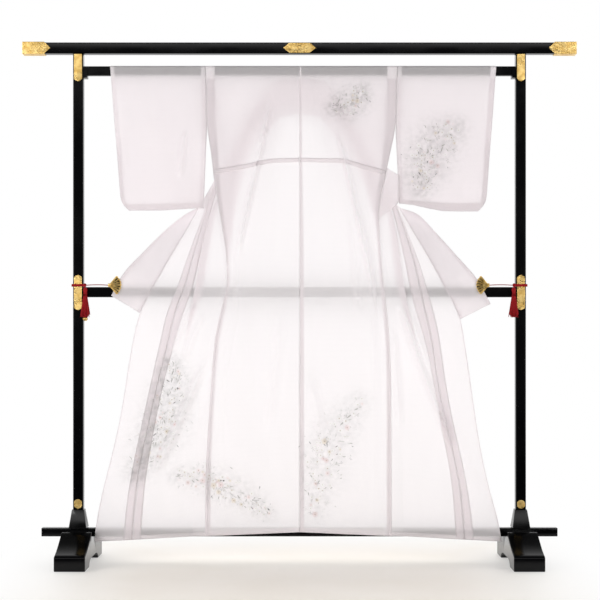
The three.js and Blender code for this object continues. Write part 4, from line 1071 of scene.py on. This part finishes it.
def scatter(bough, seed):
    """Flowers along a bough, as x, z, kind, size, turn and tint."""
    rng = np.random.default_rng(seed)
    planted, tries = [], 0
    while len(planted) < bough["flowers"] and tries < MOST_TRIES:
        tries += 1
        t = rng.beta(MIDDLE_HEAVY, MIDDLE_HEAVY)
        x, z, heading = bough_point(bough, t)
        off = rng.normal() * SPREAD_ACROSS
        off_by = off * bough["half"] * (0.45 + 0.55 * math.sin(math.pi * t))
        x, z = x - math.sin(heading) * off_by, z + math.cos(heading) * off_by
        outer = min(1.0, abs(off))
        kind = rng.choice(5, p=KIND_SHARE)
        if outer > NO_BLOSSOM_FROM and kind < 2:
            kind = 2 + rng.integers(3)
        size = KIND_SIZE[kind] * rng.uniform(*SIZE_RANGE) * (1.15 - 0.45 * outer)
        room = BLOSSOM_ROOM if kind < 2 else LEAF_ROOM
        if any((x - p[0]) ** 2 + (z - p[1]) ** 2 < (room * (size + p[3])) ** 2 for p in planted):
            continue
        if kind < 2:
            turn = rng.uniform(0, 2 * math.pi)
        else:
            turn = heading + off * LEAF_FAN + rng.normal() * LEAF_STRAY
        tints, shares = KIND_TINTS[kind]
        planted.append((x, z, kind, size, turn, rng.choice(tints, p=shares)))
    return planted


print(len(KIND_SIZE), "kinds, sizes in mm", [round(size / MM, 1) for size in KIND_SIZE])

# %% [markdown]
# A planned flower has a place in front of the kimono only. A ray finds the silk behind it, and where a
# bough crosses a seam the sheet that lies in front gets the flower. Each lies a hair above the silk, and
# neighbours at slightly different heights, so that no two petals share one plane.

# %% Places on the silk
BASE_LIFT, STEP_LIFT, LIFT_STEPS, BLOSSOM_LIFT = 0.45, 0.12, 6, 0.5      # millimetres above the silk


def on_silk(node, flower):
    """Where a flower sits on a sheet, and which way the sheet faces there, or nothing."""
    x, z = flower[:2]
    seen = sheet_trees[node].ray_cast(Vector((x, IN_FRONT, z)), AWAY)
    if seen[0] is None:
        return None
    normal = seen[1] if seen[1].y < 0 else -seen[1]
    return Vector((x, seen[0].y, z)), normal


dyed_sheets = sorted({node for bough in BOUGHS for node in bough["on"]})
sheet_trees = {node: ray_tree(grids[node]) for node in dyed_sheets}
plots = {node: [] for node in sheet_trees}
for seed, bough in enumerate(BOUGHS):
    for level, flower in enumerate(scatter(bough, 100 + seed)):
        found = [(on_silk(node, flower), node) for node in bough["on"]]
        found = [(place, node) for place, node in found if place]
        if found:
            (place, normal), node = min(found, key=lambda item: item[0][0].y)
            above = BLOSSOM_LIFT if flower[2] < 2 else 0.0
            lift = (BASE_LIFT + STEP_LIFT * (level % LIFT_STEPS) + above) * MM
            plots[node].append((place + normal * lift, normal, *flower[2:]))
print({node: len(plot) for node, plot in plots.items()})

# %% [markdown]
# Each sheet gets one object with all of its flowers. The points and what they store are written to a mesh
# of loose points, the tree runs on it, and the plain mesh that comes out is kept. The five kinds are then
# removed.

# %% Plant
garden = bpy.data.collections.new("flower_kinds")
for kind in KINDS:
    garden.objects.link(kind)
STORED = (("kind", "INT", 2), ("size", "FLOAT", 3), ("turn", "FLOAT", 4), ("tint", "FLOAT", 5))
flowers = {}
for node, plot in plots.items():
    start = new_mesh(f"flowers_{node}", [flower[0] for flower in plot], [])
    for name, data_type, column in STORED:
        values = [flower[column] for flower in plot]
        start.attributes.new(name, data_type, "POINT").data.foreach_set("value", values)
    facing = np.array([flower[1] for flower in plot], dtype=np.float32)
    start.attributes.new("facing", "FLOAT_VECTOR", "POINT").data.foreach_set("vector", facing.reshape(-1))
    flowers[node] = grow(f"flowers_{node}", start, flower_tree, {
        "Prototypes": garden, "Size": 1.0, "Material": flower_dye})
    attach(flowers[node], "root")
    print(node, len(plot), "flowers and leaves,", len(flowers[node].data.polygons), "faces")
for kind in KINDS:
    bpy.data.objects.remove(kind)
bpy.data.collections.remove(garden)

# %% [markdown]
# ## Lacquer, brass and cord
# The stand's wood is under many polished coats of black lacquer, its fittings are gilded brass with a
# finely punched ground, and its cords are twisted red silk. Each finish is one Principled shader whose
# colour, gloss and relief change a little over the surface. Wear is the same idea on wood and on metal, so
# it is one shader group with named inputs, built once and placed in both.

# %% Wear group
wear_group = bpy.data.node_groups.new("surface_wear", "ShaderNodeTree")
for label, kind, value in (("Scale", "NodeSocketFloat", 20.0), ("Low", "NodeSocketFloat", 0.0),
                           ("High", "NodeSocketFloat", 1.0)):
    wear_group.interface.new_socket(label, in_out="INPUT", socket_type=kind).default_value = value
wear_group.interface.new_socket("Mask", in_out="OUTPUT", socket_type="NodeSocketFloat")
given = wear_group.nodes.new("NodeGroupInput").outputs
spot = wire(wear_group, "ShaderNodeTexCoord").outputs["Object"]
cloudy = wire(wear_group, "ShaderNodeTexNoise", Vector=spot, Scale=given["Scale"], Detail=3.0).outputs[0]
mask = wire(wear_group, "ShaderNodeMapRange", _interpolation_type="SMOOTHSTEP", Value=cloudy, From_Min=0.33,
            From_Max=0.67, To_Min=given["Low"], To_Max=given["High"]).outputs[0]
wire(wear_group, "NodeGroupOutput", Mask=mask)


def wear(tree, **values):
    made = wire(tree, "ShaderNodeGroup", _node_tree=wear_group, **values)
    return made.outputs["Mask"]


sockets = wear_group.interface.items_tree
print("wear group with inputs", [socket.name for socket in sockets if socket.in_out == "INPUT"])

# %% [markdown]
# ## The three finishes
# Polished lacquer is almost pure black, and what is seen of it is its reflection, so its base is nearly
# nothing and its gloss is a little uneven, as a hand-polished surface is. Gilded brass is a metal with a warm
# colour that dulls in clouds. The red silk cord's twist is painted into its colour as slanted darker bands:
# painted shade where the grooves between its plies lie.

# %% Stand materials
FINISH = {}


def principled(name, **values):
    material = new_material(name)
    shader = wire(material.node_tree, "ShaderNodeBsdfPrincipled", **values)
    wire(material.node_tree, "ShaderNodeOutputMaterial", Surface=shader.outputs[0])
    FINISH[name] = material
    return material.node_tree, shader


tree, shader = principled("black_lacquer", Base_Color=(0.0012, 0.0012, 0.0015, 1), Roughness=0.14,
                          Specular_IOR_Level=0.20)
tree.links.new(wear(tree, Scale=9.0, Low=0.08, High=0.17), shader.inputs["Roughness"])

tree, shader = principled("brass", Base_Color=(0.72, 0.47, 0.14, 1), Metallic=1.0, Roughness=0.32)
tone = blend_colour(tree, wear(tree, Scale=55.0), (0.66, 0.42, 0.12, 1), (0.86, 0.62, 0.24, 1))
tree.links.new(tone, shader.inputs["Base Color"])
tree.links.new(wear(tree, Scale=90.0, Low=0.26, High=0.42), shader.inputs["Roughness"])
spot = wire(tree, "ShaderNodeTexCoord").outputs["Object"]
punched = wire(tree, "ShaderNodeTexVoronoi", Vector=spot, Scale=420.0).outputs["Distance"]
relief = wire(tree, "ShaderNodeBump", Strength=0.45, Distance=0.0006, Height=punched)
tree.links.new(relief.outputs[0], shader.inputs["Normal"])

tree, shader = principled("red_silk_cord", Base_Color=(0.36, 0.004, 0.010, 1), Roughness=0.75,
                          Specular_IOR_Level=0.2)
spot = wire(tree, "ShaderNodeTexCoord").outputs["Object"]
# painted shade: darker slanted bands where the grooves of the cord's twist lie
twist_shade = wire(tree, "ShaderNodeTexWave", Vector=spot, _bands_direction="DIAGONAL", Scale=260.0,
             Distortion=1.0).outputs["Fac"]
tone = blend_colour(tree, twist_shade, (0.15, 0.001, 0.003, 1), (0.36, 0.006, 0.010, 1))
tree.links.new(tone, shader.inputs["Base Color"])

slot_of = {}
for name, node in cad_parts.items():
    if name in pieces:
        continue
    slot_of[name] = next(slot for slot in FINISH if slot in node.data.materials[0].name)
    node.data.materials[0] = FINISH[slot_of[name]]
print({slot: list(slot_of.values()).count(slot) for slot in FINISH})

# %% [markdown]
# ## Softened edges
# No lacquered edge is knife sharp, because the coats round it, and that narrow round is what catches a
# bright line of light. A Bevel modifier on a merged copy of each plain bar gives that line. The copy then
# stands for the bar, and the modifier is applied, so nothing is left to be worked out later.

# %% Bevels
# The width of each rounded edge, in millimetres.
BEVELS = {"top_beam": 2.0, "crossbar": 1.6, "bottom_rail": 2.0, "centre_plate": 0.5}
BEVEL_STEPS, SHARP_FROM, SMOOTH_UP_TO = 3, math.radians(25), math.radians(18)
for side in SIDES:
    BEVELS.update({f"post_{side}": 1.6, f"post_base_{side}": 1.6})
    BEVELS.update({f"foot_{side}": 3.0, f"beam_cap_{side}": 0.8})
    BEVELS.update({f"post_plate_{side}_{place}": 0.4 for place in ("top", "middle", "foot")})


def soften_edges(node, width):
    """Makes a plain mesh with the node's shape and rounded edges, which stands for the node."""
    shape = bmesh.new()
    shape.from_mesh(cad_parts[node].data)
    bmesh.ops.remove_doubles(shape, verts=shape.verts, dist=SAME_PLACE)
    bmesh.ops.dissolve_limit(shape, angle_limit=math.radians(1), verts=shape.verts, edges=shape.edges)
    mesh = bpy.data.meshes.new(f"{node}_sharp")
    shape.to_mesh(mesh)
    shape.free()
    sharp = new_object(f"{node}_sharp", mesh)
    bevel = sharp.modifiers.new("bevel", "BEVEL")
    bevel.width, bevel.segments, bevel.angle_limit = width * MM, BEVEL_STEPS, SHARP_FROM
    rounded = sharp.evaluated_get(bpy.context.evaluated_depsgraph_get())
    ready = bpy.data.meshes.new_from_object(rounded)
    bpy.data.objects.remove(sharp)
    piece = new_object(f"finished_{node}", ready)
    ready.polygons.foreach_set("use_smooth", [True] * len(ready.polygons))
    ready.set_sharp_from_angle(angle=SMOOTH_UP_TO)
    ready.materials.clear()
    ready.materials.append(FINISH[slot_of[node]])
    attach(piece, "root")
    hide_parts(node)


for node, width in BEVELS.items():
    soften_edges(node, width)
print(len(BEVELS), "bars and plates with softened edges")

# %% [markdown]
# ## Nails in the fittings
# Each gilded plate is held by small domed nails near its corners. They repeat, so one node tree makes them:
# it puts a flattened sphere on every point, and half of it sinks into the plate. The points are the corners
# of the plate's own front face, moved inwards by the nail's distance from the edge.

# %% Nail tree
nail_tree, given = new_tree("plate_nails", [
    ("Head radius", "NodeSocketFloat"), ("Head height", "NodeSocketFloat"),
    ("Material", "NodeSocketMaterial")])
ball = wire(nail_tree, "GeometryNodeMeshUVSphere", Segments=12, Rings=6,
            Radius=given["Head radius"]).outputs[0]
flatness = math_node(nail_tree, "DIVIDE", given["Head height"], given["Head radius"])
squashed = wire(nail_tree, "ShaderNodeCombineXYZ", X=1.0, Y=flatness, Z=1.0).outputs[0]
heads = wire(nail_tree, "GeometryNodeInstanceOnPoints", Points=given["Geometry"], Instance=ball,
             Scale=squashed).outputs[0]
close_tree(nail_tree, heads, given["Material"])
print(len(nail_tree.nodes), "nodes in the nail tree")

# %% [markdown]
# A plate's front face is found as its foremost corners. They are sorted round the plate's middle, and of
# corners that lie close together, as on a curved end, only one gets a nail.

# %% Nails
NAIL_INSET, NAIL_SPACING = 4.5 * MM, 7 * MM
HEAD_RADIUS, HEAD_HEIGHT = 1.5 * MM, 0.8 * MM


def nail_points(node):
    """The corners of a plate's front face, moved inwards."""
    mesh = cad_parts[node].data
    corners = np.array([tuple(v.co) for v in mesh.vertices])
    front = corners[:, 1].min()
    face = np.unique(np.round(corners[corners[:, 1] < front + 0.2 * MM][:, [0, 2]], 5), axis=0)
    middle = (face.min(axis=0) + face.max(axis=0)) / 2
    face = face[np.argsort(np.arctan2(*(face - middle).T[::-1]))]
    kept = [p for k, p in enumerate(face) if np.linalg.norm(p - face[k - 1]) > NAIL_SPACING]
    inner = [p + (middle - p) * min(0.6, NAIL_INSET * 1.3 / np.linalg.norm(middle - p)) for p in kept]
    return [(x, front, z) for x, z in inner]


plates = ["centre_plate"] + [f"beam_cap_{side}" for side in SIDES]
plates += [f"post_plate_{side}_{place}" for side in SIDES for place in ("top", "middle", "foot")]
points = [point for plate in plates for point in nail_points(plate)]
nails = grow("plate_nails", new_mesh("nail_places", points, []), nail_tree, {
    "Head radius": HEAD_RADIUS, "Head height": HEAD_HEIGHT, "Material": FINISH["brass"]})
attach(nails, "root")
print(len(points), "nails,", len(nails.data.polygons), "faces")

# %% [markdown]
# ## Ribs of the fan clips
# The clips that hold the collar out are shaped as small open fans. A real one is pierced between its ribs.
# Here each gap is painted shade: a slim wedge of black lacquer in the fan's face stands for the shade seen in
# the opening, and a node tree lays one wedge at every point of an arc and turns it towards the pivot.

# %% Fan tree
fan_tree, given = new_tree("fan_gaps", [
    ("Gap length", "NodeSocketFloat"), ("Gap width", "NodeSocketFloat"),
    ("Material", "NodeSocketMaterial")])
narrow = math_node(fan_tree, "MULTIPLY", given["Gap width"], 0.3)
wedge = wire(fan_tree, "GeometryNodeMeshCone", Vertices=6, Radius_Top=narrow,
             Radius_Bottom=given["Gap width"], Depth=given["Gap length"]).outputs[0]
thin = wire(fan_tree, "GeometryNodeTransform", Geometry=wedge, Scale=(1.0, 0.25, 1.0)).outputs[0]
around = wire(fan_tree, "ShaderNodeCombineXYZ", Y=attribute(fan_tree, "turn", "FLOAT")).outputs[0]
# painted shade: each wedge is black lacquer that stands for the shade in a pierced gap between two ribs
gaps = wire(fan_tree, "GeometryNodeInstanceOnPoints", Points=given["Geometry"], Instance=thin,
            Rotation=around).outputs[0]
close_tree(fan_tree, gaps, given["Material"])
print(len(fan_tree.nodes), "nodes in the fan tree")

# %% [markdown]
# A fan's pivot is the neck that its cord is hooked round. The gaps stand between the fan's seven cast ribs,
# on its face, and so lie a little behind the tops of the ribs.

# %% Fans
FAN_RIBS, FAN_OPEN, FAN_NECK = 7, math.radians(110), 6 * MM
GAP_REACH, GAP_LENGTH, GAP_WIDTH, RIB_HEIGHT = 36 * MM, 20 * MM, 1.9 * MM, 2.3 * MM
for side, sign in SIDES.items():
    low, high = (np.array(corner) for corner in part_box(f"clip_{side}"))
    pivot = (low[0] + FAN_NECK if sign < 0 else high[0] - FAN_NECK), (low[2] + high[2]) / 2
    places, turns = [], []
    for k in range(1, FAN_RIBS):
        angle = FAN_OPEN * (k / FAN_RIBS - 0.5)
        out, up = -sign * math.cos(angle), math.sin(angle)
        places.append((pivot[0] + out * GAP_REACH, low[1] + RIB_HEIGHT, pivot[1] + up * GAP_REACH))
        turns.append(math.atan2(-out, -up))
    start = new_mesh(f"gap_places_{side}", places, [])
    start.attributes.new("turn", "FLOAT", "POINT").data.foreach_set("value", turns)
    # painted shade: black lacquer wedges for the shaded openings between the ribs
    gaps = grow(f"fan_gaps_{side}", start, fan_tree, {
        "Gap length": GAP_LENGTH, "Gap width": GAP_WIDTH, "Material": FINISH["black_lacquer"]})
    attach(gaps, "root")
    print(side, "clip,", len(places), "gaps")

# %% [markdown]
# ## Tassel strands
# A tassel is a bundle of loose silk ends under a bound head. The frame has its plain outer shape. A node
# tree hangs one thin strand from every point of a ring at the head, leans it outwards as its point says,
# and varies its length with a fixed seed, so the lower end is ragged as cut silk is.

# %% Strand tree
strand_tree, given = new_tree("tassel_strands", [
    ("Strand radius", "NodeSocketFloat"), ("Strand length", "NodeSocketFloat"),
    ("Material", "NodeSocketMaterial")])
strand = wire(strand_tree, "GeometryNodeMeshCylinder", Vertices=5, Radius=given["Strand radius"],
              Depth=given["Strand length"]).outputs[0]
half = math_node(strand_tree, "MULTIPLY", given["Strand length"], 0.5)
half_down = wire(strand_tree, "ShaderNodeCombineXYZ", Z=half).outputs[0]
hanging = wire(strand_tree, "GeometryNodeTransform", Geometry=strand, Translation=half_down).outputs[0]
lean = wire(strand_tree, "FunctionNodeAlignRotationToVector", _axis="Z",
            Vector=attribute(strand_tree, "hang", "FLOAT_VECTOR")).outputs[0]
varied = wire(strand_tree, "FunctionNodeRandomValue", _data_type="FLOAT", in2=0.80, in3=1.0, Seed=7)
varied = next(socket for socket in varied.outputs if socket.enabled)
length = wire(strand_tree, "ShaderNodeCombineXYZ", X=1.0, Y=1.0, Z=varied).outputs[0]
bundle = wire(strand_tree, "GeometryNodeInstanceOnPoints", Points=given["Geometry"], Instance=hanging,
              Rotation=lean, Scale=length).outputs[0]
close_tree(strand_tree, bundle, given["Material"])
print(len(strand_tree.nodes), "nodes in the strand tree")

# %% [markdown]
# The strands start in three rings under the bound head and lean outwards. Some lean further than others, so
# the tassel ends in a loose brush.

# %% Strands
RINGS = ((0.24, 22), (0.36, 30), (0.47, 38))
FULLNESS = (1.85, 1.15)    # how far the cut ends stand out sideways and to the front
HEAD_SHARE, NARROW_TOP, UNEVEN = 0.30, 0.72, 0.25
STRAND_RADIUS = 1.0 * MM
for side in SIDES:
    low, high = (np.array(corner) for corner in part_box(f"tassel_{side}"))
    middle, size = (low + high) / 2, high - low
    head = high[2] - HEAD_SHARE * size[2]
    starts, hangs = [], []
    for share, count in RINGS:
        for k in range(count):
            turn = 2 * math.pi * (k + share) / count
            spread = np.array([math.cos(turn) * size[0], math.sin(turn) * size[1], 0.0])
            top = np.array([middle[0], middle[1], head]) + spread * share * NARROW_TOP
            loose = np.array([FULLNESS[0] + UNEVEN * math.sin(5 * turn), FULLNESS[1], 0.0])
            end = np.array([middle[0], middle[1], low[2]]) + spread * share * loose
            starts.append(top)
            hangs.append((end - top) / np.linalg.norm(end - top))
    start = new_mesh(f"strand_places_{side}", starts, [])
    stored = start.attributes.new("hang", "FLOAT_VECTOR", "POINT")
    stored.data.foreach_set("vector", np.array(hangs).reshape(-1))
    strands = grow(f"tassel_strands_{side}", start, strand_tree, {
        "Strand radius": STRAND_RADIUS, "Strand length": float(head - low[2]),
        "Material": FINISH["red_silk_cord"]})
    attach(strands, "root")
    print(side, len(starts), "strands from z", round(float(head), 3), "to", round(float(low[2]), 3))

# %% [markdown]
# ## A bead at the end of a cord
# The left cord ends in a small gilt bead below the tassel, which stops its end from fraying. It is a
# squashed sphere with the tassel's ends tucked into its top.

# %% Bead
BEAD_RADIUS, BEAD_HEIGHT, BEAD_DROP = 9 * MM, 7 * MM, 5 * MM
low, high = (np.array(corner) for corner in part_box("tassel_left"))
shape = bmesh.new()
bmesh.ops.create_uvsphere(shape, u_segments=20, v_segments=10, radius=1.0)
for corner in shape.verts:
    corner.co.x = (low[0] + high[0]) / 2 + corner.co.x * BEAD_RADIUS
    corner.co.y = (low[1] + high[1]) / 2 + corner.co.y * BEAD_RADIUS
    corner.co.z = low[2] - BEAD_DROP + corner.co.z * BEAD_HEIGHT
mesh = bpy.data.meshes.new("tassel_bead")
shape.to_mesh(mesh)
shape.free()
mesh.polygons.foreach_set("use_smooth", [True] * len(mesh.polygons))
mesh.materials.append(FINISH["brass"])
bead = new_object("tassel_bead_left", mesh)
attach(bead, "root")
print("bead at z", round(float(low[2] - BEAD_DROP), 3))

# %% Cuts
CUTS = {
    "back": {"flat": (0.36, 1.68), "rests_on": ["rod"]},
    "front": {"flat": (0.28, 1.70), "rests_on": ["rod"]},
    "okumi": {"flat": (0.15, 1.34), "area": 0.17},
    "sleeve": {"flat": (0.36, 0.53), "rests_on": ["rod"]},
    "collar": {"flat": (0.22, 1.98), "rests_on": ["rod", "clip_left", "clip_right"]},
    "waist": {"flat": (0.030, 0.29), "held": "folded"},
}
for node, piece in pieces.items():
    cut_to = dict(CUTS[node.split("_")[0]])
    side = node.split("_")[-1]
    cut_to.setdefault("held", "hung")
    cut_to.setdefault("rests_on", [pieces[f"front_{side}" if "okumi" in node else f"back_{side}"]
                                   if side in SIDES else "rod"])
print(len(pieces), "sheets declared")
